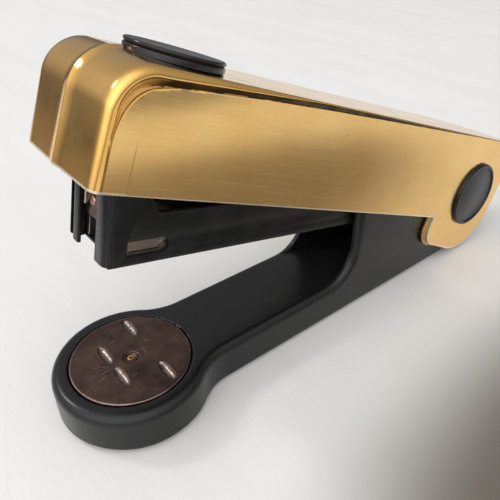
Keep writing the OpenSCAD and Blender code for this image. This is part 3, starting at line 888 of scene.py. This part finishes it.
def base_form(x, y, z):
    """Distance outside the casting, negative inside."""
    body = soft_max(base_plan(x, y), z - BASE_TOP, EDGE_R)
    wide = np.abs(y)
    cheek = soft_max(soft_max(cheek_side(x, z), wide - ARM_HALF, EDGE_R), CHEEK_IN - wide, 0.3)
    form = soft_max(np.minimum(body, cheek), SOLE_T - z, 0.25)
    from_post = np.hypot(x, y)
    holes = [
        np.maximum(from_post - RECESS_R, RECESS_FLOOR - z),
        from_post - 2.55,
        np.maximum(from_post - 7, z - 6),
        np.hypot(x - HINGE[0], z - HINGE[2]) - 2.5,
    ]
    holes += [np.maximum(np.hypot(x - s, y) - 1.25, z - 8) for s in SOLE_SCREWS]
    holes += [np.maximum(np.hypot(x - s, y) - 1.25, BASE_TOP - 3 - z) for s in LEAF_RIVETS]
    for hole in holes:
        form = soft_max(form, -hole, 0.3)
    return form


def skin(form, low, high, step):
    """Quads over the surface where form is zero, from a grid of cells, drawn onto it exactly."""
    axes = [np.arange(a, b + step, step) for a, b in zip(low, high)]
    values = form(*np.meshgrid(*axes, indexing="ij", sparse=True))
    shape = np.array(values.shape)
    inside = values < 0
    cells = tuple(shape - 1)
    total, weight = np.zeros(cells + (3,)), np.zeros(cells)
    ring = ((0, 0), (1, 0), (0, 1), (1, 1))
    crossings = []
    for axis in range(3):
        one, two = [a for a in range(3) if a != axis]
        lower = [slice(None)] * 3
        upper = [slice(None)] * 3
        lower[axis], upper[axis] = slice(0, -1), slice(1, None)
        a, b = values[tuple(lower)], values[tuple(upper)]
        crossed = inside[tuple(lower)] != inside[tuple(upper)]
        at = np.argwhere(crossed)
        points = at.astype(float)
        points[:, axis] += a[crossed] / (a[crossed] - b[crossed])
        crossings.append((axis, one, two, at, inside[tuple(lower)][crossed]))
        for i, k in ring:
            cell = at.copy()
            cell[:, one] -= i
            cell[:, two] -= k
            fine = np.all((cell >= 0) & (cell < np.array(cells)), axis=1)
            index = tuple(cell[fine].T)
            np.add.at(total, index, points[fine])
            np.add.at(weight, index, 1)
    used = weight > 0
    number = np.full(cells, -1)
    number[used] = np.arange(used.sum())
    points = total[used] / weight[used][:, None] * step + np.array(low)
    faces = []
    for axis, one, two, at, starts_inside in crossings:
        corners = []
        for i, k in ((0, 0), (1, 0), (1, 1), (0, 1)):
            cell = at.copy()
            cell[:, one] -= i
            cell[:, two] -= k
            corners.append(number[tuple(np.clip(cell, 0, np.array(cells) - 1).T)])
        quads = np.stack(corners, 1)
        flip = starts_inside if axis == 1 else ~starts_inside
        quads[flip] = quads[flip][:, ::-1]
        faces.append(quads)
    for _ in range(4):
        here = form(*points.T)
        rises = [form(*(points + d).T) - form(*(points - d).T) for d in np.eye(3) * 0.01]
        slope = np.stack(rises, 1) / 0.02
        points -= np.clip(here / np.maximum((slope**2).sum(1), 0.25), -step, step)[:, None] * slope
    return points, np.vstack(faces)


def make_base():
    """The casting, as one smooth skin over its form."""
    low, high = (-18, -18, 0.5), (123, 18, 33)
    points, faces = skin(base_form, low, high, 0.42)
    make_piece("base_body", (points, faces.tolist()), "base", [ENAMEL], ["base_casting"], 50)


make_base()


# ---- anvil ----

ANVIL_R = 13.3
ANVIL_TOP = 10.55
ANVIL_T = 1.5
GROOVE_ROW = 4.2
GROOVE_HALF = 1.0
GROOVE_DEEP = 0.65


def groove_depth(x, y, start, end):
    """Depth of a scooped clinching groove whose ends run out to soft points."""
    middle, half = (start + end) / 2, (end - start) / 2
    along = np.clip((y - middle) / half, -1, 1)
    width = GROOVE_HALF * np.sqrt(np.maximum(1 - np.abs(along) ** 3.2, 1e-6)) * 1.05
    across = np.abs(x) / width
    inside = (across < 1) & (np.abs(y - middle) < half)
    scoop = np.where(inside, (1 - across**2) * (1 - along**6), 0)
    lip = np.exp(-(((across - 1.12) / 0.16) ** 2)) * (np.abs(y - middle) < half * 0.97)
    return GROOVE_DEEP * scoop ** 0.8 - 0.05 * lip


def make_anvil():
    """A polar net over the top, closed round the chamfered rim, the underside and the hole."""
    spokes, flat = 420, 76
    radii = np.concatenate([np.linspace(1.5, 12.7, flat), [12.86, 12.98, 13.08, 13.2, 13.28, ANVIL_R]])
    drop = np.concatenate([np.zeros(flat), [0.0, 0.04, 0.02, 0.08, 0.18, 0.34]])
    drop[:4] = [0.28, 0.12, 0.04, 0.0]
    under = ANVIL_TOP - ANVIL_T
    turned_under = ((ANVIL_R, under + 0.2), (ANVIL_R - 0.2, under), (1.6, under), (1.5, under + 0.1))
    turn = np.arange(spokes) * 2 * math.pi / spokes
    points, faces, indices, depths = [], [], [], []
    for radius, low in zip(radii, drop):
        x, y = radius * np.cos(turn), radius * np.sin(turn)
        deep = sum(
            groove_depth(x + side * GROOVE_ROW, hand * y, *ends)
            for side, ends in ((1, (0.75, 7.0)), (-1, (5.3, 11.65)))
            for hand in (-1, 1)
        )
        depths.append(deep)
        points += np.c_[x, y, np.full(spokes, ANVIL_TOP - low) - deep].tolist()
    for radius, height in turned_under:
        points += np.c_[radius * np.cos(turn), radius * np.sin(turn), np.full(spokes, height)].tolist()
    rings = len(radii) + 4
    for i in range(rings):
        for k in range(spokes):
            m, j = (k + 1) % spokes, (i + 1) % rings
            faces.append((i * spokes + k, i * spokes + m, j * spokes + m, j * spokes + k))
            scooped = i < flat and min(depths[i][k], depths[i + 1][m]) > 0.10
            indices.append(2 if scooped else 1 if flat < i < flat + 4 else 0)
    coats = [ANVIL, ANVIL_RIM, ANVIL_GROOVE]
    make_piece("anvil_disc", (points, faces), "anvil", coats, ["anvil_plate"], 50, indices)


def make_scratches():
    """Light scratches beside the inner grooves, where staple legs have slid."""
    strokes = [(-5.3, 0.5, 153, 3.0), (-5.2, 0.1, 172, 2.4), (-5.4, -0.4, 196, 2.2), (-6.6, -1.6, 205, 2.6)]
    strokes += [(-2.2, 6.3, 20, 2.2), (3.0, -1.2, 74, 2.6), (6.2, 2.0, 160, 2.0), (-1.0, -5.2, 188, 1.8)]
    parts = []
    for x, y, heading, length in strokes:
        a = math.radians(heading)
        along, across = np.array([math.cos(a), math.sin(a)]), np.array([-math.sin(a), math.cos(a)])
        middle = np.array([x, y]) + along * length / 2
        ring = [middle + along * length / 2 * c + across * 0.07 * s for c, s in arc((0, 0), 1, 0, 330, 11)]
        parts.append(prism(ring, ANVIL_TOP - 0.03, ANVIL_TOP + 0.012, 2))
    make_piece("anvil_scratches", joined(*parts), "anvil", [ANVIL_GROOVE])


def make_post():
    """The riveted end of the anvil's post: a shallow dimple with a small brass eyelet in it."""
    top, floor = ANVIL_TOP, ANVIL_TOP - ANVIL_T
    stem = [(0, 3.6), (2.4, 3.6), (2.5, 3.7), (2.5, 4.2), (2.0, 4.2), (2.0, 5.0), (2.5, 5.0)]
    stem += [(2.5, floor - 0.1), (2.4, floor - 0.02), (1.49, floor - 0.02), (1.49, top - 0.10)]
    dimple = [(1.42, top - 0.03), (1.2, top - 0.06), (1.0, top - 0.16), (0.8, top - 0.27)]
    eyelet = [(0.72, top - 0.24), (0.6, top - 0.18), (0.45, top - 0.2), (0.36, top - 0.32)]
    eyelet += [(0.34, top - 1.0), (0, top - 1.1)]
    points, faces = revolve(stem + dimple + eyelet, 72)
    across = np.hypot(*points[:, :2].T)
    high = points[:, 2] > floor + 0.5
    dull = [int(all(high[i] and (across[i] > 0.7 or across[i] < 0.35) for i in f)) for f in faces]
    make_piece("anvil_stud", (points, faces), "anvil", [BRASS, ANVIL], ["anvil_post"], 40, dull)


# ---- button and caps ----

BUTTON_U = -104.7
BUTTON_R = 9.4
BUTTON_LOW = 1.3
BUTTON_HIGH = 0.8
CAP_FACE = 13.85


def on_button(points):
    """Points measured from the middle of the button, in the row frame."""
    x, y, z = points.T
    u = BUTTON_U + x * math.cos(SLOPE) - z * math.sin(SLOPE)
    n = top_at(BUTTON_U) + x * math.sin(SLOPE) + z * math.cos(SLOPE)
    return in_cover(np.c_[u, y, n])


def make_button():
    """The thumb button: a wide disc on a slightly smaller foot."""
    low, high = BUTTON_LOW, BUTTON_LOW + BUTTON_HIGH
    r = BUTTON_R
    foot = [(0, 0.02), (r - 0.6, 0.02), (r - 0.35, 0.2), *arc((r - 0.7, low - 0.4), 0.35, 0, 90, 5)]
    foot = revolve([*foot, (r - 0.9, low - 0.02), (0, low - 0.02)], 144)
    coats = [PLASTIC]
    make_piece("button_foot", foot, "cover", coats, ["button_lower"], 40, None, on_button)
    r = BUTTON_R - 0.35
    disc = [(0, low), (r - 0.35, low), (r - 0.2, low + 0.15), (r - 0.05, low + 0.25)]
    disc += arc((r - 0.45, high - 0.45), 0.45, 0, 75, 6)
    points, faces = revolve([*disc, (r - 0.8, high - 0.03), (r - 1.3, high - 0.06), (0, high - 0.1)], 144)
    across = np.hypot(points[:, 0], points[:, 1])
    side = [int(max(across[i] for i in f) > r - 0.12) for f in faces]
    disc, coats = (points, faces), [GREY_PLASTIC, PLASTIC]
    make_piece("button_top", disc, "cover", coats, ["button_upper"], 40, side, on_button)


def make_caps():
    """The two hinge caps: a dull face in a glossy ring."""
    low, r = 11.98, CAP_R
    face, ring = CAP_FACE, CAP_FACE + 0.4
    profile = [(0, low), (r - 0.9, low), (r - 0.7, low + 0.2), (r - 0.7, 13.3), (r, 13.32)]
    profile += arc((r - 0.5, ring - 0.5), 0.5, 0, 90, 7) + arc((r - 0.85, ring - 0.2), 0.2, 90, 165, 4)
    profile += [(r - 1.1, face + 0.06), (r - 1.25, face + 0.04), (r - 1.4, face + 0.16), (0, face + 0.16)]
    points, faces = revolve(profile, 128)
    x, y, z = points.T
    across = np.hypot(x, y)
    grey = [int(all(across[i] < r - 1.15 and z[i] > face - 0.2 for i in f)) for f in faces]
    coats = [GLOSS_BLACK, GREY_PLASTIC]
    for name, hand in (("cap_left", 1), ("cap_right", -1)):
        shape = np.c_[x, hand * z, y], faces
        make_piece(name + "_disc", shape, "cover", coats, [name], 40, grey)


make_anvil()
make_scratches()
make_post()
make_button()
make_caps()


# ---- magazine ----

MAG_HALF = 8.2
MAG_T = 0.6
MAG_BOTTOM = -5.5
MAG_FLOOR = MAG_BOTTOM + MAG_T
WALL_TOP = 4.8
NOSE_TOP = 10.3
MAG_FRONT = -115.45
STRIP_FRONT = -112.8
LEG_OUT = 6.4
LEG_IN = LEG_OUT - 0.55
CROWN_TOP = 1.15
WIRE = 0.5
PUSHER_FRONT = -104.85
ROD_N = -2.3


def side_tool(outline, low, high, across=1):
    """A prism for cutting, in the magazine's own directions."""
    return tool(prism(outline, low, high, across), in_magazine)


def channel(half, inner, low, top, under, bend=0.7):
    """Cross-section of a bent channel that is open below, as (y, n)."""
    outer = [(half, low)] + arc((half - bend, top - bend), bend, 0, 90, 5)
    inside = max(bend - (half - inner), 0.12)
    hollow = [(inner, low)] + arc((inner - inside, under - inside), inside, 0, 90, 3)
    right = outer[1:]
    left = [(-y, n) for y, n in outer[1:]][::-1]
    back = [(-y, n) for y, n in hollow[1:]]
    ahead = hollow[1:][::-1]
    return [outer[0], *right, *left, (-half, low), (-inner, low), *back, *ahead, (inner, low)]


def make_housing():
    """The black sheet channel that holds the staples, with its tall nose and its round ears."""
    ear = 6.8
    low_corner = math.degrees(math.asin(MAG_BOTTOM / ear))
    high_corner = math.degrees(math.asin(WALL_TOP / ear))
    side = [(MAG_FRONT, MAG_BOTTOM), *arc((0, 0), ear, -180 - low_corner, 180 - high_corner, 28)]
    side += [(-104.9, WALL_TOP), *arc((-105.2, WALL_TOP + 1.6), 1.6, 270, 208, 5), (-107.2, 7.4)]
    side += [(-108.1, NOSE_TOP - 0.5), (-108.3, NOSE_TOP - 0.1), (-108.7, NOSE_TOP), (MAG_FRONT, NOSE_TOP)]
    side = prism(side, -MAG_HALF, MAG_HALF)
    obj = make_piece("magazine_body", side, "magazine", [SHEET], ["magazine_housing"])
    bevelled(obj, 0.75, 4, angle=75)
    inner = MAG_HALF - MAG_T
    floor = STRIP_FRONT - 0.1
    hollow = [(-120, -20), (floor, -20), (floor, MAG_FLOOR), (-6, MAG_FLOOR), (-6, -20)]
    hollow += [(20, -20), (20, 20), (-120, 20)]
    quarter = np.linspace(0, math.pi / 2, 8)
    nose = [(-113.5 - 1.95 * math.sin(a), inner + 0.04 + 0.56 * math.cos(a)) for a in quarter]
    cutters = [side_tool(hollow, -inner, inner), side_tool(arc((0, 0), 2.55, 0, 345, 24), -12, 12)]
    cutters.append(side_tool(arc((-12.4, -2), 0.8, 0, 345, 16), -12, 12))
    for hand in (-1, 1):
        turned = [(u, hand * y) for u, y in [(-118, 12), (-113.5, 12), *nose, (-118, nose[-1][1])]]
        cutters.append(side_tool(turned, -20, 20, 2))
        corner = [(-111.8, -0.4), *arc((-104.85, -1.95), 1.55, 90, -90, 10), (-111.8, -3.5)]
        cutters.append(side_tool(corner, *sorted((hand * (inner - 1), hand * (MAG_HALF + 1)))))
    cut(obj, *cutters)
    bevelled(obj, 0.12, 2, angle=50)


def make_nose_plate():
    """The bent plate across the nose, open in the middle for the driver."""
    face, half, r, t = -115.6, 7.35, 1.8, 0.75
    rear = STRIP_FRONT - 0.15
    outer = arc((face + r, half - r), r, 90, 180, 7)
    inner = arc((face + r, half - r), r - t, 90, 180, 5)
    ring = [(rear, half), *outer, *[(u, -y) for u, y in outer][::-1], (rear, -half), (rear, t - half)]
    ring += [*[(u, -y) for u, y in inner], *inner[::-1], (rear, half - t)]
    plate = prism(ring, -5.65, 10.5, 2)
    obj = make_piece("nose_plate", plate, "magazine", [SHEET], ["front_plate"])
    slot = [(-3.2, -12), (3.9, -12), (3.9, 8.5), *arc((3.1, 8.5), 0.8, 0, 90, 4)]
    slot += arc((-2.4, 8.5), 0.8, 90, 180, 4)
    cut(obj, side_tool(slot, -118, -114, 0))
    bevelled(obj, 0.16, 2, angle=50)


def make_rail():
    """The channel that the staples ride on."""
    rail = prism(channel(5.75, 5.05, MAG_FLOOR, 0.65, -0.05), STRIP_FRONT, -10, 0)
    obj = make_piece("rail_channel", rail, "magazine", [STEEL], ["staple_rail"])
    slot = [(-106, -1.3), (-52, -1.3), (-52, 1.3), (-106, 1.3)]
    cut(obj, side_tool(slot, -2, 4, 2), side_tool(arc((-12.4, -2), 0.8, 0, 345, 16), -12, 12))
    bevelled(obj, 0.08, 1, angle=50)


def make_staples():
    """A short strip of separate staples, with a hair of glue between them."""
    section = channel(LEG_OUT, LEG_IN, MAG_FLOOR + 0.05, CROWN_TOP, CROWN_TOP - WIRE, 0.55)
    count = 16
    pitch = 7.9 / count
    parts = []
    for i in range(count):
        start = STRIP_FRONT + i * pitch
        core = np.array(section)
        slim = core * (1 - 0.05 / LEG_OUT)
        slim[:, 1] = np.minimum(core[:, 1], CROWN_TOP - 0.04)
        rings = [np.insert(slim, 0, start + 0.01, 1), np.insert(core, 0, start + 0.07, 1)]
        rings += [np.insert(core, 0, start + pitch - 0.07, 1), np.insert(slim, 0, start + pitch - 0.01, 1)]
        parts.append(stacked(rings))
    make_piece("staples", joined(*parts), "magazine", [STAPLE_WIRE], ["staple_strip"], 45)


def make_pusher():
    """A sleeve over the rail with a block under it that runs on the rod."""
    top = CROWN_TOP + 0.6
    rear = PUSHER_FRONT + 10
    sleeve = prism(channel(LEG_OUT, LEG_IN, MAG_FLOOR + 0.25, top, 0.75, 0.7), PUSHER_FRONT, rear, 0)
    obj = make_piece("pusher_sleeve", sleeve, "pusher", [STEEL], ["pusher"])
    bevelled(obj, 0.12, 2, angle=50)
    front, back = PUSHER_FRONT + 1, PUSHER_FRONT + 6
    block = [(-3.4, -4.2), (3.4, -4.2), (3.4, -0.7), (1, -0.7)]
    block += [(1, top - 0.3), (-1, top - 0.3), (-1, -0.7), (-3.4, -0.7)]
    obj = make_piece("pusher_block", prism(block, front, back, 0), "pusher", [STEEL], ["pusher"])
    bore = [(y, ROD_N + n) for y, n in arc((0, 0), 1.2, 0, 345, 24)]
    cut(obj, side_tool(bore, front - 1, back + 1, 0))
    bevelled(obj, 0.15, 2, angle=50)


def make_pusher_spring():
    """The coil round the rod, from behind the pusher's block towards the hinge."""
    front, rear = PUSHER_FRONT + 6.1, -18.1
    coil = helix(0, 22, (front + 0.35, rear - 0.35), 1.75)
    wire = tube(np.c_[coil[:, 2], coil[:, 0], ROD_N + coil[:, 1]], 0.35, 8)
    obj = make_piece("push_spring", wire, "magazine", [SPRING_STEEL], ["pusher_spring"], 60)
    anchor = in_magazine([(rear, 0, ROD_N)])[0] * MM
    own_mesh(obj)


def make_torsion_spring():
    """A coil round the bush, with one leg on the magazine's floor and one under the cover."""
    r, leg_lean = 4.35, 16.5
    lean = math.radians(leg_lean)
    out = np.array([r * math.sin(lean), -2.88, r * math.cos(lean)])
    along = np.array([-math.cos(lean), 0, math.sin(lean)])
    cover_leg = in_cover([out + along * reach for reach in np.linspace(29, 0.6, 14)])
    magazine_leg = in_magazine([(-reach, 2.88, -r) for reach in np.linspace(0.4, 9.4, 7)])
    start = 90 - leg_lean - COVER_ANGLE
    finish = -90 - MAGAZINE_ANGLE
    turns = 5 + (start - finish) / 360
    coil = helix(start, turns, (-2.88, 2.88), r, 40, clockwise=True)
    middle = np.c_[HINGE[0] + coil[:, 0], coil[:, 2], HINGE[2] + coil[:, 1]]
    wire = tube(np.vstack([cover_leg, middle, magazine_leg]), 0.47, 10)
    coats = [SPRING_STEEL]
    make_piece("hinge_spring", wire, "magazine", coats, ["torsion_spring"], 60, place=in_row)


# ---- driver ----

BLADE_U = -113.29
BLADE_LOW = -17.36


def make_blade():
    """The driver that pushes a staple out, with two pressed ribs and a flange under the cover."""
    under = SHEET_T / math.cos(SLOPE) + 0.05

    def top(u):
        return top_at(u) - under

    front, rear, low = BLADE_U, -98.5, BLADE_LOW
    t, flange = 0.7, 0.9
    side = [(front, low), (front, top(front) - 0.5), (front + 0.15, top(front) - 0.15)]
    side += [(front + 0.5, top(front + 0.5)), (rear, top(rear)), (rear, top(rear) - flange)]
    side += [(front + t + 0.3, top(front) - flange), (front + t, top(front) - flange - 0.3), (front + t, low)]
    obj = make_piece("blade", prism(side, -6.2, 6.2), "cover", [BLADE_STEEL], ["driver_blade"])
    bevelled(obj, 0.1, 2, angle=50)
    ribs = []
    for hand in (-1, 1):
        path = [(front + 0.15 - 0.35 * min(1, 0.5 * k), hand * 4.1, low + 1.2 + k) for k in range(27)]
        ribs.append(tube(path, 0.38, 10))
    make_piece("blade_ribs", joined(*ribs), "cover", [STAPLE_WIRE], ["driver_blade"], 60)
    head = [(0, -0.36), (0.55, -0.33), (0.85, -0.22), (1.0, -0.02), (1.0, 0.0)]
    points, faces = revolve([*head, (0.55, 0.0), (0.55, 0.68), (0, 0.68)], 40)
    x, y, z = points.T
    shape = np.c_[front + z, 1.2 + y, -14.5 + x], faces
    make_piece("rivet_head", shape, "cover", [COPPER], ["blade_rivet"], 40)


def make_lift_spring():
    """The leaf under the magazine: a bent strip riveted to the arm."""
    line = [(100, 10.7), (86.5, 10.7), (84, 10.75), (81.8, 11.5), (76.2, 14.0), (67.2, 22.6)]
    soft = smooth_path([*line, (65.9, 23.5), (63.7, 24.2)], 5)
    ahead = np.gradient(soft, axis=0)
    ahead /= np.linalg.norm(ahead, axis=1)[:, None]
    side = np.c_[-ahead[:, 1], ahead[:, 0]] * 0.3
    outline = np.vstack([soft + side, (soft - side)[::-1]])
    leaf = prism(outline, -4.5, 4.5)
    obj = make_piece("leaf", leaf, "base", [SPRING_STEEL], ["lift_spring"], 30)
    cut(obj, *[tool(prism(arc((x, 0), 1.3, 0, 345, 24), 9, 12, 2)) for x in LEAF_RIVETS])
    bevelled(obj, 0.08, 1, angle=60)
    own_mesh(obj)


make_housing()
make_nose_plate()
make_rail()
make_staples()
make_pusher()
make_pusher_spring()
make_torsion_spring()
make_blade()
make_lift_spring()


# ---- floor, light and camera ----

CAMERA_PLACE = (-31.30, -81.66, 95.84)
CAMERA_YAW, CAMERA_PITCH, CAMERA_ROLL = 0.8975, 0.5985, -0.003
CAMERA_LENS = 38.06


def make_floor():
    """A pale painted floor with faint brush relief. A painted shade greys it far away on the left,
    which the gold front mirrors, and a painted shadow greys a soft patch on the near side of the
    arm, which the brushed side mirrors."""
    size = 1600
    corners = [(-size, -size, 0), (size, -size, 0), (size, size, 0), (-size, size, 0)]
    obj = new_object("floor", corners, [(0, 1, 2, 3)])
    # grey is the colour of the painted shade and the painted shadow.
    pale, dull, grey = (0.80, 0.785, 0.765), (0.76, 0.745, 0.725), (0.15, 0.13, 0.11)
    paint = Paint("floor_paint", pale, Roughness=0.55)
    grain = paint.noise(14.0, 5, stretch=(1, 6, 1))
    near = paint.blend(paint.span(grain, 0.35, 0.7, 0, 1), pale, dull)
    where = paint.add("TexCoord").outputs["Object"]
    # Painted shade: the floor turns grey far away on the left.
    left = {0: where, 1: (-0.985, 0.17, 0)}
    leftward = paint.add("VectorMath", left, operation="DOT_PRODUCT").outputs["Value"]
    # Painted shadow: a soft grey patch on the near side of the arm.
    patch = {"Vector": where, "Location": (0.075, -0.100, 0), "Scale": (0.104, 0.056, 1)}
    inside = paint.add("Mapping", patch, vector_type="TEXTURE").outputs["Vector"]
    reach = paint.add("VectorMath", {0: inside}, operation="LENGTH").outputs["Value"]
    shaded = paint.blend(paint.span(reach, 0.68, 1.32, 1.0, 0, smooth=True), near, grey)
    paint.colour(paint.blend(paint.span(leftward, 0.10, 0.32, 0, 1, smooth=True), shaded, grey))
    paint.bump((grain, 0.15), (paint.noise(1.3, 4, stretch=(1, 3, 1)), 0.05))
    obj.data.materials.append(paint.material)


def make_window():
    """A small window high on the camera's left, which glints on the crease and the rim."""
    light = bpy.data.lights.new("window", "AREA")
    light.shape = "RECTANGLE"
    light.size, light.size_y = 0.17, 0.20
    light.energy = 2.4
    light.color = (1.0, 0.985, 0.96)
    place, aim = Vector((-0.46, 0.71, 0.85)), Vector((0, 0, 0.06))
    obj = linked("window", light)
    obj.location = place
    obj.rotation_euler = (aim - place).to_track_quat("-Z", "Y").to_euler()


def make_sky():
    """A soft sky that is brightest high up behind the camera, and dimmer near the horizon."""
    world = bpy.data.worlds.new("studio")
    bpy.context.scene.world = world
    world.use_nodes = True
    tree = world.node_tree
    back = tree.nodes["Background"]
    where = tree.nodes.new("ShaderNodeTexCoord")
    across = tree.nodes.new("ShaderNodeVectorMath")
    across.operation = "DOT_PRODUCT"
    across.inputs[1].default_value = tuple(Vector((-0.70, -0.38, 0.60)).normalized())
    ramp = tree.nodes.new("ShaderNodeValToRGB")
    brightest = 2.1
    height = tree.nodes.new("ShaderNodeSeparateXYZ")
    lift = tree.nodes.new("ShaderNodeMapRange")
    lift.inputs["From Min"].default_value = -0.05
    lift.inputs["From Max"].default_value = 0.26
    lift.inputs["To Min"].default_value = 0.28 * brightest
    lift.inputs["To Max"].default_value = 1.03 * brightest
    tree.links.new(where.outputs["Generated"], height.inputs["Vector"])
    tree.links.new(height.outputs["Z"], lift.inputs["Value"])
    tree.links.new(lift.outputs["Result"], back.inputs["Strength"])
    stops = ramp.color_ramp.elements
    steps = ((0.0, 0.15), (0.50, 0.46), (0.68, 0.70), (0.86, 1.35), (1.0, brightest))
    for i, (position, value) in enumerate(steps):
        stop = stops[0] if i == 0 else stops[-1] if i == 4 else stops.new(position)
        share = value / brightest
        stop.color = (share * 0.99, share, share * 1.01, 1)
    shift = tree.nodes.new("ShaderNodeMapRange")
    shift.inputs["From Min"].default_value = -1
    tree.links.new(where.outputs["Generated"], across.inputs[0])
    tree.links.new(across.outputs["Value"], shift.inputs["Value"])
    tree.links.new(shift.outputs["Result"], ramp.inputs["Fac"])
    tree.links.new(ramp.outputs["Color"], back.inputs["Color"])
    bpy.context.scene.view_settings.view_transform = "Standard"


def make_camera():
    """The camera at the photograph's viewing angle."""
    data = bpy.data.cameras.new("camera")
    data.sensor_width = 36
    data.lens = CAMERA_LENS
    data.clip_start = 0.001
    obj = linked("camera", data)
    cy, sy = math.cos(CAMERA_YAW), math.sin(CAMERA_YAW)
    cp, sp = math.cos(CAMERA_PITCH), math.sin(CAMERA_PITCH)
    forward = Vector((cy * cp, sy * cp, -sp))
    right = Vector((sy, -cy, 0))
    up = right.cross(forward)
    cr, sr = math.cos(CAMERA_ROLL), math.sin(CAMERA_ROLL)
    right, up = right * cr + up * sr, up * cr - right * sr
    turn = Matrix((right, up, -forward)).transposed()
    obj.matrix_world = Matrix.Translation(Vector(CAMERA_PLACE) * MM) @ turn.to_4x4()
    bpy.context.scene.camera = obj


make_floor()
make_sky()
make_window()
make_camera()
